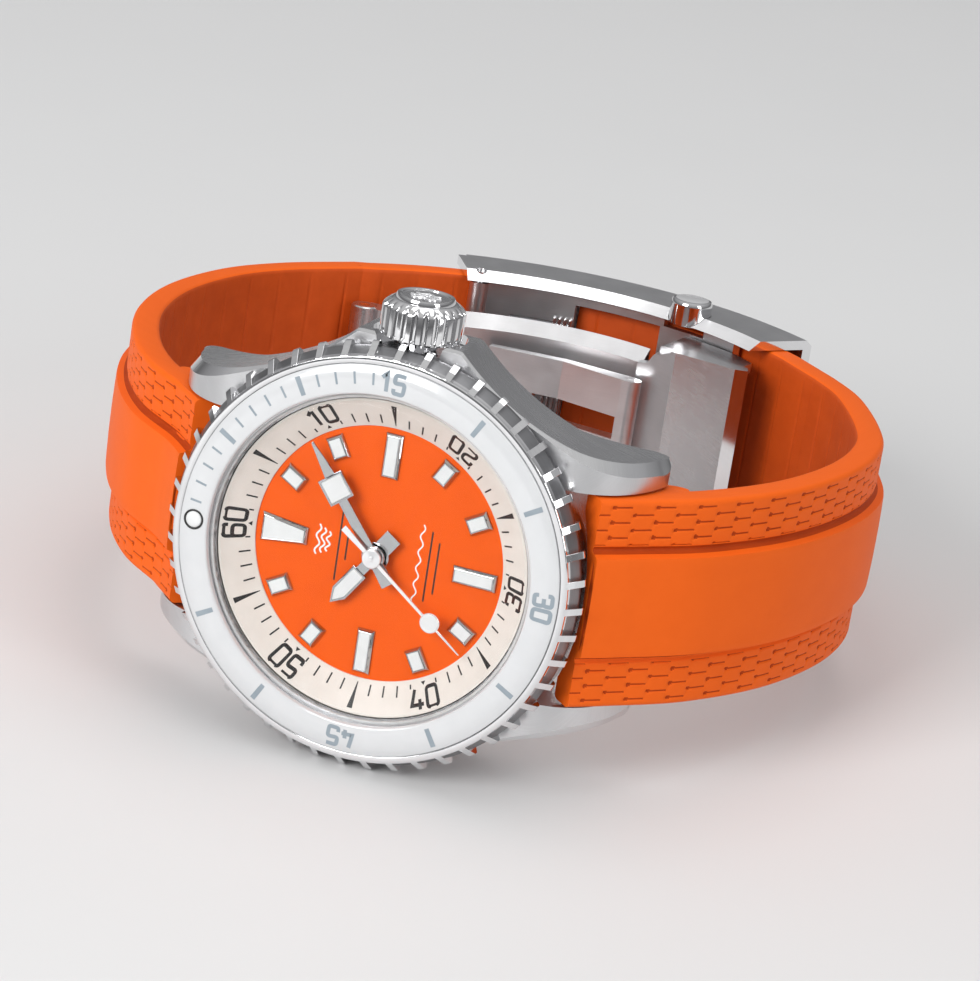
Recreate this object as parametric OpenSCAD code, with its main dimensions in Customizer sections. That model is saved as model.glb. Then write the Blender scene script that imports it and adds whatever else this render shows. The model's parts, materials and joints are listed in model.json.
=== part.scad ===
// Automatic dive watch on a closed rubber strap, lying on its side with the crown up.
// Millimetres. Z is up, the dial faces -Y and leans back a little, 6 o'clock points to +X.

/* [Case] */
// Diameter of the case middle
case_d = 34.4; // [34:0.1:35]
// Distance between the tips of opposite lugs
lug_to_lug = 42.4; // [41.5:0.1:43.5]
// Free width between the two lugs of a pair
lug_gap = 18.2; // [18:0.1:18.6]
// Height of the crystal's crown above the dial
crystal_top = 3.87; // [3.6:0.01:4.2]
// Depth of the back cover's face below the dial
back_depth = 8.2; // [8:0.1:9]

/* [Bezel] */
// Diameter over the grip ribs
bezel_d = 36; // [35.6:0.1:36.4]
// Number of grip ribs
rib_count = 48; // [24:12:60]
// Outer diameter of the ceramic insert
insert_d = 32.7; // [32:0.1:33]

/* [Dial] */
// Diameter of the flat coloured dial
dial_d = 21.5; // [21:0.1:22]
// Minute hand length
minute_len = 10.6; // [9:0.1:10.7]
// Hour hand length
hour_len = 5.8; // [5:0.1:6.5]
// Seconds hand length
second_len = 10.5; // [9:0.1:10.7]
// Seconds past the full minute shown at rest
rest_second = 36; // [0:1:59]
// Minute shown at rest
rest_minute = 8.6; // [0:0.1:59.9]
// Place of the hour hand at rest, in dial minutes
rest_hour = 50.72; // [0:0.01:59.99]

/* [Crown] */
// Crown diameter
crown_d = 6.9; // [6.4:0.1:7]
// Crown length
crown_len = 3.4; // [3:0.1:4]
// Depth of the stem's axis below the dial
stem_depth = 2.5; // [2.4:0.1:2.6]

/* [Strap] */
// Strap width
strap_w = 17.8; // [17:0.1:18]
// Thickness of the textured borders
strap_t = 2.5; // [2.2:0.1:2.8]
// Width of the raised middle band
band_w = 9; // [8:0.1:10]
// Height of the middle band over the borders
band_h = 0.8; // [0.4:0.1:1]

/* [Clasp] */
// Width over the cover's side walls
cover_w = 19.8; // [19.6:0.1:20.4]
// Outer radius of the curved cover
cover_r = 34; // [33.8:0.1:34.6]
// Push-button diameter
button_d = 4; // [3:0.1:4.2]
// Push-button height over the cover's side
button_h = 1.4; // [1:0.1:1.6]

/* [Resting place] */
// Tilt that lays the bezel's rim and the clasp on one plane
rest_tilt = 5.9; // [0:0.1:10]

/* [Hidden] */
$fn = 96;
eps = 0.02;

case_r = case_d/2;
tip_y = lug_to_lug/2;
case_top = 0.1;
case_bottom = -5.4;
cavity_r = 13.42;
neck_r = 14.6;
neck_top = 2.3;
ledge_z = 1.9;
crystal_r = 13.55;
seat_r = 13.8;
bezel_r = bezel_d/2;
insert_r = insert_d/2;
insert_in_r = 13.9;
insert_z = 2.36;
bezel_top = 2.75;
rib_step = 360/rib_count;
bar_y = 18.4;
bar_z = -5;
bar_r = 0.75;
bar_reach = 10.4;

dial_r = dial_d/2;
dial_t = 0.4;
rehaut_r = 13.34;
rehaut_top = 1.75;

// Levels of the movement, dial side first
plate_top = -0.5;
plate_bottom = -1.9;
bridge_bottom = -4.3;
bridge_top = -4.9;
movement_r = 12.8;
pivot_r = 0.2;
pivot_hole_r = 0.25;

// Gear train: teeth, modules and centres
train_mod = 0.11;
train_dist = train_mod*(80 + 10)/2;
fourth_mod = train_dist/42.5;
escape_mod = 0.095;
escape_dist = escape_mod*(96 + 8)/2;
barrel_mod = 0.13;
barrel_dist = barrel_mod*(84 + 12)/2;
motion_dist = 2.4;
cannon_mod = motion_dist/24;
hour_mod = motion_dist/25;
barrel_angle = 45;
third_angle = 225;
escape_angle = 300;
motion_angle = 180;
barrel_at = polar(barrel_dist, barrel_angle);
third_at = polar(train_dist, third_angle);
escape_at = polar(escape_dist, escape_angle);
motion_at = polar(motion_dist, motion_angle);
crown_wheel_at = [9.3, 0];
wind_vector = barrel_at - crown_wheel_at;
wind_mod = norm(wind_vector)/36;
wind_angle = atan2(wind_vector[1], wind_vector[0]);
balance_at = [7.2, -6.2];
beat_vector = balance_at - escape_at;
beat_angle = atan2(beat_vector[1], beat_vector[0]);
pallet_at = escape_at + polar(2.65, beat_angle);
balance_r = 3;

// Centre that the strap's back and the clasp curve around, in strap coordinates
clasp_centre = [-1.5, 35.7];
cover_in_r = 26.5;
cover_wall = 0.9;
strap_out_r = 31.5;
strap_in_r = strap_out_r - strap_t;
floor_r = 28.4;
floor_t = 0.9;
cover_pin = clasp_arc(27.8, -26, -26, 1)[0];
blade_pin = [5.2, 52.4];
barrel_pin = [-22.4, 52.9];
button_at = [7.2, 62.4];
pin_r = 0.5;

// Outline of the strap's outer face, from each pair of lugs round to the clasp
outer_12 = [[-17.7, 0.5], [-20.4, 3.6], [-25.6, 8.4], [-30.1, 15.2], [-33.6, 24],
    [-34.9, 33.5], [-33.6, 43], [-30.3, 50.2], [-25.5, 56.6]];
outer_6 = [[17.7, 0.3], [20.4, 2.9], [25.4, 8.4], [30, 16.6], [32.6, 26],
    [32.9, 34.5], [31.2, 41.4], [27.5, 49.8], [24, 54.5]];

// Where the resting watch stands: middle of its footprint at the origin
rest_shift = [0.94, -32.79, 17.84];

function polar(r, a) = [r*cos(a), r*sin(a)];

// Cubic curve from a to d, pulled by b and c
function curve(a, b, c, d, n) = [for (i = [0:n]) let (t = i/n, s = 1 - t)
    s*s*s*a + 3*s*s*t*b + 3*s*t*t*c + t*t*t*d];

// Smooth line through the points of a list, n steps in each span
function through(p, n) = concat([for (k = [0:len(p) - 2], i = [0:n - 1])
    let (a = p[max(k - 1, 0)], b = p[k], c = p[k + 1], d = p[min(k + 2, len(p) - 1)], t = i/n)
    0.5*(2*b + (c - a)*t + (2*a - 5*b + 4*c - d)*t*t + (3*b - a - 3*c + d)*t*t*t)],
    [p[len(p) - 1]]);

// Line beside a line, at distance d on its right
function beside(p, d) = [for (i = [0:len(p) - 1])
    let (v = p[min(i + 1, len(p) - 1)] - p[max(i - 1, 0)]) p[i] + d*[v[1], -v[0]]/norm(v)];

function reversed(p) = [for (i = [len(p) - 1:-1:0]) p[i]];

// Arc about the clasp's centre; angle 0 is straight back, positive towards 6 o'clock
function clasp_arc(r, a0, a1, n = 16) = [for (i = [0:n]) let (a = a0 + (a1 - a0)*i/n)
    clasp_centre + r*[sin(a), cos(a)]];

function clasp_band(r0, r1, a0, a1, n = 16) =
    concat(clasp_arc(r0, a0, a1, n), clasp_arc(r1, a1, a0, n));

// Spur gear outline: short teeth with working backlash
function gear_line(n, m, phase) = [for (i = [0:n - 1],
    p = [[-0.27, -0.9], [-0.13, 0.45], [0.13, 0.45], [0.27, -0.9]])
    polar(m*(n/2 + p[1]), phase + (i + p[0])*360/n)];

// Puts dial-side geometry in place: X to 3 o'clock, Y to 12 o'clock, Z out of the dial
module on_watch() {
    translate(rest_shift) rotate([-rest_tilt, 0, 0]) rotate([90, 0, 0]) rotate([0, 0, 90]) children();
}

// Puts strap geometry in place: X to 6 o'clock, Y away from the dial, Z to the crown
module on_strap() {
    translate(rest_shift) rotate([-rest_tilt, 0, 0]) children();
}

module ring(r_in, r_out, z0, z1) {
    translate([0, 0, z0]) difference() {
        cylinder(r = r_out, h = z1 - z0);
        translate([0, 0, -1]) cylinder(r = r_in, h = z1 - z0 + 2);
    }
}

module rod(at, r, z0, z1) {
    translate([at[0], at[1], z0]) cylinder(r = r, h = z1 - z0, $fn = 32);
}

module gear(at, n, m, z0, z1, mesh_angle, gap = false) {
    translate([at[0], at[1], z0]) linear_extrude(z1 - z0)
        polygon(gear_line(n, m, mesh_angle + (gap ? 180/n : 0)));
}

// Extrudes a strap-side outline symmetrically about the middle plane
module slab(outline, width) {
    translate([0, 0, -width/2]) linear_extrude(width) polygon(outline);
}

// ---------------------------------------------------------------- case

module case_plan() {
    flank = curve([18.2, 4.4], [16.6, 6.2], [12.6, 10.2], [11.3, 19.9], 10);
    plain = curve([17.1, 3.8], [16.4, 7], [12.6, 10.2], [11.3, 19.9], 10);
    lug = [[10.9, tip_y - 0.2], [10.2, tip_y], [lug_gap/2, tip_y]];
    for (s = [1, -1]) {
        polygon([for (p = concat([[0, 0], [18.2, 0]], flank, lug, [[lug_gap/2, 0]])) [p[0], s*p[1]]]);
        polygon([for (p = concat([[0, 0], [17.1, 0]], plain, lug, [[lug_gap/2, 0]])) [-p[0], s*p[1]]]);
    }
}

// Lug silhouette seen from the crown, as distance from the middle and height
module case_side() {
    top = curve([14.2, case_top], [17.4, 0.1], [20, -2.6], [tip_y - 0.3, -7.2], 10);
    tip = curve([tip_y - 0.3, -7.2], [tip_y, -8.8], [20, -9.2], [18.9, -8.7], 5);
    half = concat([[0, case_top]], top, tip, [[15, -6.2], [13.6, case_bottom], [0, case_bottom]]);
    for (s = [1, -1]) polygon([for (p = half) [s*p[0], p[1]]]);
}

module case_middle() {
    color("silver") on_watch() difference() {
        union() {
            intersection() {
                union() {
                    translate([0, 0, -12]) linear_extrude(14) case_plan();
                    translate([0, 0, -12]) cylinder(r = case_r, h = 14);
                }
                rotate([90, 0, 90]) translate([0, 0, -25]) linear_extrude(50) case_side();
            }
            translate([0, 0, -1]) cylinder(r = neck_r, h = neck_top + 1);
        }
        translate([0, 0, -10]) cylinder(r = cavity_r, h = 20);
        translate([0, 0, ledge_z]) cylinder(r = seat_r, h = 5);
        ring(13.7, 14.3, case_bottom - 1, case_bottom + 0.3);
        translate([0, 0, case_bottom - 10]) cylinder(r = 16, h = 10);
        translate([13, 0, -stem_depth]) rotate([0, 90, 0]) cylinder(r = 1.5, h = 10);
        translate([17.3, 0, -stem_depth]) rotate([0, 90, 0]) cylinder(r = crown_d/2 + 0.35, h = 10);
        for (s = [1, -1]) translate([-20, s*bar_y, bar_z]) rotate([0, 90, 0])
            translate([0, 0, 20 - bar_reach]) cylinder(r = 0.45, h = 2*bar_reach);
    }
}

module caseback() {
    color("silver") on_watch() difference() {
        rotate_extrude() polygon([[0, -back_depth], [12.6, -back_depth], [15.4, -7.4], [15.8, -6.6],
            [15.8, case_bottom], [13.36, case_bottom], [13.36, -4.6], [13, -4.6], [13, -7.2], [0, -7.2]]);
        for (i = [0:5]) rotate(i*60) translate([14.2, 0, -back_depth - 1])
            cylinder(r = 1.1, h = 1.6, $fn = 32);
    }
}

module caseback_gasket() {
    color("dimgray") on_watch() ring(13.72, 14.28, case_bottom, case_bottom + 0.28);
}

module crown_tube() {
    color("silver") on_watch() translate([13.5, 0, -stem_depth]) rotate([0, 90, 0]) ring(0.9, 1.5, 0, 5.4);
}

module crystal() {
    dome = [for (i = [0:8]) let (x = 13.2*(1 - i/8)) [x, crystal_top - 0.45*pow(x/13.2, 2)]];
    color([0.85, 0.93, 0.97, 0.3]) on_watch() rotate_extrude()
        polygon(concat([[0, ledge_z], [crystal_r, ledge_z], [crystal_r, 3.2]], dome));
}

module crystal_gasket() {
    color("white") on_watch() ring(crystal_r, seat_r, ledge_z, neck_top);
}

module rehaut() {
    color("linen") on_watch() rotate_extrude()
        polygon([[dial_r, 0], [rehaut_r, 0], [rehaut_r, rehaut_top], [13.1, rehaut_top],
            [dial_r, 0.12]]);
}

module dial() {
    color("orangered") on_watch() difference() {
        translate([0, 0, -dial_t]) cylinder(r = 13.2, h = dial_t);
        rod([0, 0], 0.95, -1, 1);
    }
}

// One applied marker: a frame standing on the dial at an hour
module marker(hour, r0, r1, w0, w1, h) {
    rotate(90 - 30*hour) linear_extrude(h)
        polygon([[r0, -w0/2], [r1, -w1/2], [r1, w1/2], [r0, w0/2]]);
}

module markers(inset, h) {
    for (i = [1:11]) {
        r0 = i % 3 == 0 ? 6.5 : 8.25;
        w = i % 3 == 0 ? 1.5 : 1.55;
        marker(i, r0 + inset, 10.3 - inset, w - 2*inset, w - 2*inset, h);
    }
    marker(12, 6.15 + inset, 10.25 - inset, 1.5 - 2*inset, 2.5 - 2*inset, h);
}

module hour_markers() {
    color("silver") on_watch() difference() {
        markers(0, 0.42);
        translate([0, 0, 0.15]) markers(0.24, 1);
    }
}

module marker_lume() {
    color("white") on_watch() translate([0, 0, 0.15]) markers(0.25, 0.25);
}

module bezel_spring() {
    color("gray") on_watch() {
        ring(15.2, 16.4, case_top, case_top + 0.12);
        for (i = [0:2]) rotate(i*120 + 20) translate([15.3, -1, case_top]) cube([1, 2, 0.3]);
    }
}

module spring_bar(s) {
    color("silver") on_watch() translate([0, s*bar_y, bar_z]) rotate([0, 90, 0]) {
        translate([0, 0, -8.9]) cylinder(r = bar_r, h = 17.8);
        translate([0, 0, -bar_reach + 0.1]) cylinder(r = 0.4, h = 2*bar_reach - 0.2);
    }
}
module spring_bar_12() { spring_bar(1); }
module spring_bar_6() { spring_bar(-1); }

// ---------------------------------------------------------------- bezel

module bezel_ring() {
    color("silver") on_watch() difference() {
        union() {
            rotate_extrude() polygon([[14.7, 0.25], [17, 0.25], [17.5, 0.6], [17.5, 1.25], [17.05, 2.2],
                [16.95, bezel_top], [14.7, bezel_top]]);
            for (i = [0:rib_count - 1]) rotate(i*rib_step) translate([0, 0.29, 0]) rotate([90, 0, 0])
                linear_extrude(0.58) polygon([[16.6, 0.6], [17.4, 0.5], [bezel_r, 0.95],
                    [bezel_r, 1.35], [16.9, bezel_top - 0.03], [16.6, bezel_top - 0.03]]);
        }
        ring(14, insert_r + 0.03, insert_z, 4);
        ring(14.95, 16.7, 0, 0.65);
    }
}

module bezel_insert() {
    color("whitesmoke") on_watch() difference() {
        rotate_extrude() polygon([[insert_in_r, insert_z], [insert_r, insert_z], [insert_r, 2.82],
            [16.2, 2.88], [14.1, 2.92], [insert_in_r, 2.8]]);
        rotate(90) rod([15.15, 0], 0.72, 2.6, 4);
    }
}

module bezel_pip() {
    color("white") on_watch() rotate(90) rod([15.15, 0], 0.7, 2.6, 2.98);
}

// ---------------------------------------------------------------- crown

module along_stem(x) {
    on_watch() translate([x, 0, -stem_depth]) rotate([0, 90, 0]) children();
}

module crown() {
    flutes = 24;
    color("silver") along_stem(18.25) difference() {
        union() {
            rotate_extrude() polygon([[0, 0], [crown_d/2 - 0.25, 0], [crown_d/2, 0.25],
                [crown_d/2, crown_len - 0.9], [crown_d/2 - 0.5, crown_len - 0.35],
                [crown_d/2 - 0.75, crown_len - 0.2], [0, crown_len - 0.2]]);
            ring(2, 2.35, 0, crown_len);
            rod([0, 0], 0.7, 0, crown_len);
        }
        translate([0, 0, -1]) cylinder(r = 1.6, h = 2.6);
        for (i = [0:flutes - 1]) rotate(i*360/flutes) translate([crown_d/2 - 0.32, 0, -1])
            linear_extrude(crown_len + 1) polygon([[0, -0.16], [1, -0.5], [1, 0.5], [0, 0.16]]);
    }
}

module crown_stem() {
    color("silver") along_stem(8.7) cylinder(r = 0.55, h = 11.1);
}

module crown_gasket() {
    color("dimgray") along_stem(18.35) ring(1.52, 1.6, 0, 0.5);
}

module winding_pinion() {
    color("gold") along_stem(10.9) difference() {
        linear_extrude(1.1) polygon(gear_line(16, 0.205, 0));
        translate([0, 0, -1]) cylinder(r = 0.6, h = 4);
    }
}

// ---------------------------------------------------------------- hands

module at_minute(m) {
    rotate(90 - 6*m) children();
}

module hand_hole(r) {
    translate([0, 0, -1]) cylinder(r = r, h = 5);
}

module minute_outline(inset) {
    polygon([[5.2 + inset, -1.15 + inset], [7.5 - inset, -1.15 + inset],
        [7.5 - inset, 1.15 - inset], [5.2 + inset, 1.15 - inset]]);
}

module minute_hand() {
    color("silver") on_watch() at_minute(rest_minute) difference() {
        union() {
            translate([0, 0, 1]) linear_extrude(0.22) polygon([[-2.6, -0.62], [0, -0.5], [5.3, -0.42],
                [5.3, 0.42], [0, 0.5], [-2.6, 0.62]]);
            translate([0, 0, 1]) linear_extrude(0.22) polygon([[7.4, -0.5], [minute_len, -0.1],
                [minute_len, 0.1], [7.4, 0.5]]);
            translate([0, 0, 1]) linear_extrude(0.32) minute_outline(0);
            translate([0, 0, 0.95]) cylinder(r = 0.95, h = 0.32);
        }
        translate([0, 0, 1.1]) linear_extrude(1) minute_outline(0.2);
        hand_hole(0.38);
    }
}

module minute_lume() {
    color("white") on_watch() at_minute(rest_minute) translate([0, 0, 1.1]) linear_extrude(0.24)
        minute_outline(0.21);
}

module hour_outline(inset) {
    polygon([[1.9 + inset, -0.72 + inset], [4.6, -0.72 + inset], [hour_len - 1.3*inset, 0],
        [4.6, 0.72 - inset], [1.9 + inset, 0.72 - inset]]);
}

module hour_hand() {
    color("silver") on_watch() at_minute(rest_hour) difference() {
        union() {
            translate([0, 0, 0.52]) linear_extrude(0.22) polygon([[-2.4, -0.75], [-1, -0.75],
                [-0.8, -0.45], [2, -0.45], [2, 0.45], [-0.8, 0.45], [-1, 0.75], [-2.4, 0.75]]);
            translate([0, 0, 0.52]) linear_extrude(0.3) hour_outline(0);
            translate([0, 0, 0.47]) cylinder(r = 1.2, h = 0.3);
        }
        translate([0, 0, 0.62]) linear_extrude(1) hour_outline(0.18);
        hand_hole(0.72);
    }
}

module hour_lume() {
    color("white") on_watch() at_minute(rest_hour) translate([0, 0, 0.62]) linear_extrude(0.22)
        hour_outline(0.19);
}

module seconds_hand() {
    color("silver") on_watch() at_minute(rest_second) {
        translate([0, 0, 1.45]) linear_extrude(0.12) polygon([[-3.4, -0.28], [-0.5, -0.16], [6.1, -0.12],
            [6.1, 0.12], [-0.5, 0.16], [-3.4, 0.28]]);
        translate([0, 0, 1.45]) linear_extrude(0.12) polygon([[7.6, -0.1], [second_len, -0.05],
            [second_len, 0.05], [7.6, 0.1]]);
        translate([0, 0, 1.45]) rod([7, 0], 0.85, 0, 0.16);
        translate([0, 0, 1.4]) cylinder(r = 0.8, h = 0.32);
    }
}

module seconds_lume() {
    color("white") on_watch() at_minute(rest_second) rod([7, 0], 0.72, 1.61, 1.67);
}

// ---------------------------------------------------------------- gear train

module centre_wheel() {
    color("gold") on_watch() difference() {
        union() {
            gear([0, 0], 80, train_mod, -3.4, -3.2, third_angle);
            gear([0, 0], 12, barrel_mod, -2.4, -2, barrel_angle, true);
            gear([0, 0], 12, cannon_mod, -1.38, -1.05, motion_angle);
            rod([0, 0], 0.38, -3.4, 1.27);
        }
        rod([0, 0], 0.2, -5, 3);
        for (i = [0:4]) rotate(i*72) rod([2.4, 0], 0.95, -4, -3);
    }
}

module fourth_wheel() {
    color("gold") on_watch() {
        difference() {
            gear([0, 0], 96, escape_mod, -4.2, -4, escape_angle);
            for (i = [0:4]) rotate(i*72) rod([2.5, 0], 1, -4.5, -3.9);
        }
        gear([0, 0], 10, fourth_mod, -4, -3.5, third_angle, true);
        rod([0, 0], 0.15, -4.7, 1.4);
    }
}

module third_wheel() {
    color("gold") on_watch() {
        difference() {
            gear(third_at, 75, fourth_mod, -3.75, -3.55, third_angle + 180);
            for (i = [0:4]) translate(third_at) rotate(i*72) rod([2.4, 0], 1, -4.5, -3);
        }
        gear(third_at, 10, train_mod, -3.55, -3.1, third_angle + 180, true);
        rod(third_at, pivot_r, -4.7, -1.6);
    }
}

module escape_wheel() {
    color("silver") on_watch() {
        translate([escape_at[0], escape_at[1], -2.8]) linear_extrude(0.2) polygon([for (i = [0:14],
            p = [[1.45, 0], [1.9, 9], [1.9, 11], [1.45, 13]]) polar(p[0], 24*i + p[1])]);
        gear(escape_at, 8, escape_mod, -4.25, -3.95, escape_angle + 180, true);
        rod(escape_at, pivot_r, -4.7, -1.6);
    }
}

module barrel() {
    color("gold") on_watch() difference() {
        union() {
            gear(barrel_at, 84, barrel_mod, -2.35, -2.05, barrel_angle + 180);
            rod(barrel_at, 5, -3.1, -2.3);
        }
        rod(barrel_at, 4.7, -2.9, -2.25);
        rod(barrel_at, 0.85, -5, -1);
    }
}

module mainspring() {
    color("steelblue") on_watch() translate([barrel_at[0], barrel_at[1], -2.85]) linear_extrude(0.55)
        difference() {
            circle(r = 4.6);
            circle(r = 3.2);
        }
}

module minute_wheel() {
    color("gold") on_watch() {
        gear(motion_at, 36, cannon_mod, -1.32, -1.12, motion_angle + 180, true);
        gear(motion_at, 10, hour_mod, -1.12, -0.65, motion_angle + 180);
        rod(motion_at, pivot_r, -1.8, -0.5);
    }
}

module hour_wheel() {
    color("gold") on_watch() difference() {
        union() {
            gear([0, 0], 40, hour_mod, -0.95, -0.7, motion_angle, true);
            rod([0, 0], 0.72, -0.95, 0.78);
        }
        rod([0, 0], 0.43, -2, 3);
    }
}

module crown_wheel() {
    color("silver") on_watch() difference() {
        gear(crown_wheel_at, 24, wind_mod, -4.62, -4.37, wind_angle);
        rod(crown_wheel_at, 0.65, -6, -3);
    }
}

module ratchet_wheel() {
    color("silver") on_watch() {
        gear(barrel_at, 48, wind_mod, -4.62, -4.37, wind_angle + 180, true);
        rod(barrel_at, 0.8, -4.37, -1.7);
    }
}

module pallet_fork() {
    color("silver") on_watch() translate([pallet_at[0], pallet_at[1], 0]) rotate(beat_angle) {
        translate([0, 0, -2.8]) linear_extrude(0.2) polygon([[-0.25, -2], [0.3, -0.5], [1.6, -0.14],
            [1.9, -0.4], [2, -0.2], [1.75, 0], [2, 0.2], [1.9, 0.4], [1.6, 0.14], [0.3, 0.5], [-0.25, 2],
            [-0.65, 2], [-0.3, 0.6], [-0.3, -0.6], [-0.65, -2]]);
        rod([0, 0], pivot_r, -3, -1.6);
    }
}

module balance_wheel() {
    color("gold") on_watch() translate([balance_at[0], balance_at[1], 0]) {
        ring(balance_r - 0.45, balance_r, -3.75, -3.4);
        for (a = [0:60:120]) rotate(a) translate([-balance_r + 0.3, -0.2, -3.65])
            cube([2*balance_r - 0.6, 0.4, 0.15]);
        rod([0, 0], pivot_r, -4.7, -1.6);
        rod([0, 0], 0.5, -3.4, -3.2);
    }
}

module hairspring() {
    steps = 96;
    turns = 5;
    line = [for (i = [0:steps]) polar(0.45 + 1.5*i/steps, turns*360*i/steps)];
    color("steelblue") on_watch() translate([balance_at[0], balance_at[1], -4.15]) {
        linear_extrude(0.14) polygon(concat(line, reversed(beside(line, 0.07))));
        ring(pivot_r + eps, 0.5, 0, 0.16);
    }
}

// ---------------------------------------------------------------- movement frame

module pivot_holes(points, z0, z1) {
    for (p = points) rod(p, pivot_hole_r, z0, z1);
}

module sector(r, a0, a1) {
    polygon(concat([[0, 0]], [for (i = [0:24]) polar(r, a0 + (a1 - a0)*i/24)]));
}

module movement_ring() {
    color("silver") on_watch() difference() {
        ring(12.85, 13.38, -4.5, -0.45);
        translate([12, 0, -stem_depth]) rotate([0, 90, 0]) cylinder(r = 0.8, h = 3);
    }
}

module mainplate() {
    color("silver") on_watch() difference() {
        translate([0, 0, plate_bottom]) cylinder(r = movement_r, h = plate_top - plate_bottom);
        rod([0, 0], 0.45, -3, 0);
        rod([-1, 0], 4.6, -1.45, 0);
        pivot_holes([third_at, escape_at, pallet_at, balance_at], -3, -1.55);
        rod(motion_at, pivot_hole_r, -1.85, 0);
        rod(barrel_at, 0.85, -3, -1.6);
        translate([10.6, -1.95, -3]) cube([1.7, 3.9, 3]);
        translate([7, -0.65, -3]) cube([6, 1.3, 1.2]);
    }
}

module barrel_bridge() {
    color("silver") on_watch() difference() {
        translate([0, 0, -4.27]) linear_extrude(1.07) difference() {
            sector(12.6, -18, 112);
            circle(r = 4.85);
        }
        rod(barrel_at, 0.85, -5, -3);
        translate([10.6, -1.95, -5]) cube([1.7, 3.9, 3]);
        translate([7, -0.65, -3.3]) cube([6, 1.3, 1.2]);
        rod([9.3, 0], 0.6, -5, -3.6);
    }
}

module train_bridge() {
    color("silver") on_watch() difference() {
        union() {
            translate([0, 0, bridge_top]) linear_extrude(0.6) difference() {
                union() {
                    sector(12.6, 120, 284);
                    circle(r = 1.5);
                    translate(escape_at) circle(r = 1);
                    rotate(escape_angle) translate([0, -0.8]) square([escape_dist, 1.6]);
                }
                translate(barrel_at) circle(r = 4.75);
                translate(balance_at) circle(r = 3.6);
            }
            for (a = [130, 200, 250]) rod(polar(11.4, a), 0.9, bridge_bottom - 0.1, plate_bottom);
        }
        pivot_holes([third_at, escape_at], -5, -4);
        rod([0, 0], 0.2, -5, -4);
        for (p = [third_at, escape_at]) rod(p, 0.55, -5, -4.72);
    }
}

module balance_cock() {
    foot = polar(11.9, -65);
    arm = foot - balance_at;
    color("silver") on_watch() difference() {
        union() {
            translate([0, 0, bridge_top]) linear_extrude(0.5) union() {
                translate(balance_at) circle(r = 1.3);
                translate(balance_at) rotate(atan2(arm[1], arm[0])) translate([0, -0.8])
                    square([norm(arm), 1.6]);
                translate(foot) circle(r = 0.9);
            }
            rod(foot, 0.8, bridge_top + 0.1, plate_bottom);
        }
        rod(balance_at, pivot_hole_r, -5, -4);
        rod(balance_at, 0.55, -5, -4.72);
    }
}

module pallet_bridge() {
    side = [-sin(beat_angle), cos(beat_angle)];
    color("silver") on_watch() difference() {
        union() {
            translate([pallet_at[0], pallet_at[1], -3.12]) rotate(beat_angle) translate([-0.5, -2.7, 0])
                cube([1, 5.4, 0.14]);
            for (s = [1, -1]) rod(pallet_at + s*2.5*side, 0.32, -3.05, plate_bottom);
        }
        pivot_holes([pallet_at], -4, -2);
    }
}

module movement_screws() {
    color("steelblue") on_watch() {
        for (a = [130, 200, 250]) rod(polar(11.4, a), 0.7, bridge_top - 0.15, bridge_top);
        for (a = [10, 95]) rod(polar(11.6, a), 0.6, -4.42, -4.27);
        rod(crown_wheel_at, 0.6, -4.85, -3.6);
    }
}

module jewels() {
    color("crimson") on_watch() {
        for (p = [third_at, escape_at, balance_at]) translate([p[0], p[1], 0])
            ring(pivot_hole_r, 0.55, -4.9, -4.72);
    }
}

module rotor_bearing() {
    color("silver") on_watch() {
        rod([0, 0], 1.2, bridge_top - 0.4, bridge_top);
        rod([0, 0], 0.6, bridge_top - 1.2, bridge_top);
    }
}

module rotor() {
    color("silver") on_watch() rotate(90) difference() {
        union() {
            translate([0, 0, -5.65]) linear_extrude(0.22) union() {
                sector(12.3, 0, 180);
                circle(r = 1.6);
            }
            translate([0, 0, -6.7]) linear_extrude(1.2) difference() {
                sector(12.3, 0, 180);
                circle(r = 10);
            }
        }
        rod([0, 0], 0.65, -8, -4);
        for (a = [50, 90, 130]) rotate(a) rod([6, 0], 1.6, -8, -4);
    }
}

// ---------------------------------------------------------------- strap

// Cross-section of one strap half seen from the crown: outer face, end at the clasp, inner face
function strap_outline(outer, a_end, a_join, lift, skin) =
    let (face = through(outer, 4), back = clasp_arc(strap_out_r, a_join, a_end, 6),
        whole = concat(face, back), side = sign(outer[0][0]))
    concat(beside(whole, side*lift), reversed(beside(whole, -side*skin)));

module strap_half(outer, a_end, a_join, band_end) {
    side = sign(outer[0][0]);
    color("orangered") on_strap() difference() {
        union() {
            slab(strap_outline(outer, a_end, a_join, 0, strap_t), strap_w);
            slab(strap_outline(outer, band_end, a_join, band_h, 0.5), band_w);
            slab([[side*17.7, 0.5], [side*20.6, 3.8], [side*22.6, 9], [side*20.8, 8.6],
                [side*18.6, 7], [side*17.7, 6.2]], strap_w);
        }
        translate([side*bar_y, -bar_z, -20]) cylinder(r = bar_r, h = 40);
        rotate([-90, 0, 0]) translate([0, 0, -5]) cylinder(r = case_r + 0.3, h = 20);
        rotate([-90, 0, 0]) translate([0, 0, -5]) cylinder(r = bezel_r + 0.3, h = 5.1);
        button_pockets();
    }
}

// Room beside the strap and the clasp's floor for the pressed buttons
module button_pockets() {
    for (s = [1, -1]) translate([button_at[0], button_at[1], s*18])
        cylinder(r = button_d/2 + 0.4, h = 20, center = true);
}

module strap_12() {
    strap_half(outer_12, -23, -46, -34);
}

module strap_6() {
    strap_half(outer_6, -9, 42, 33);
}

// ---------------------------------------------------------------- clasp

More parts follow.
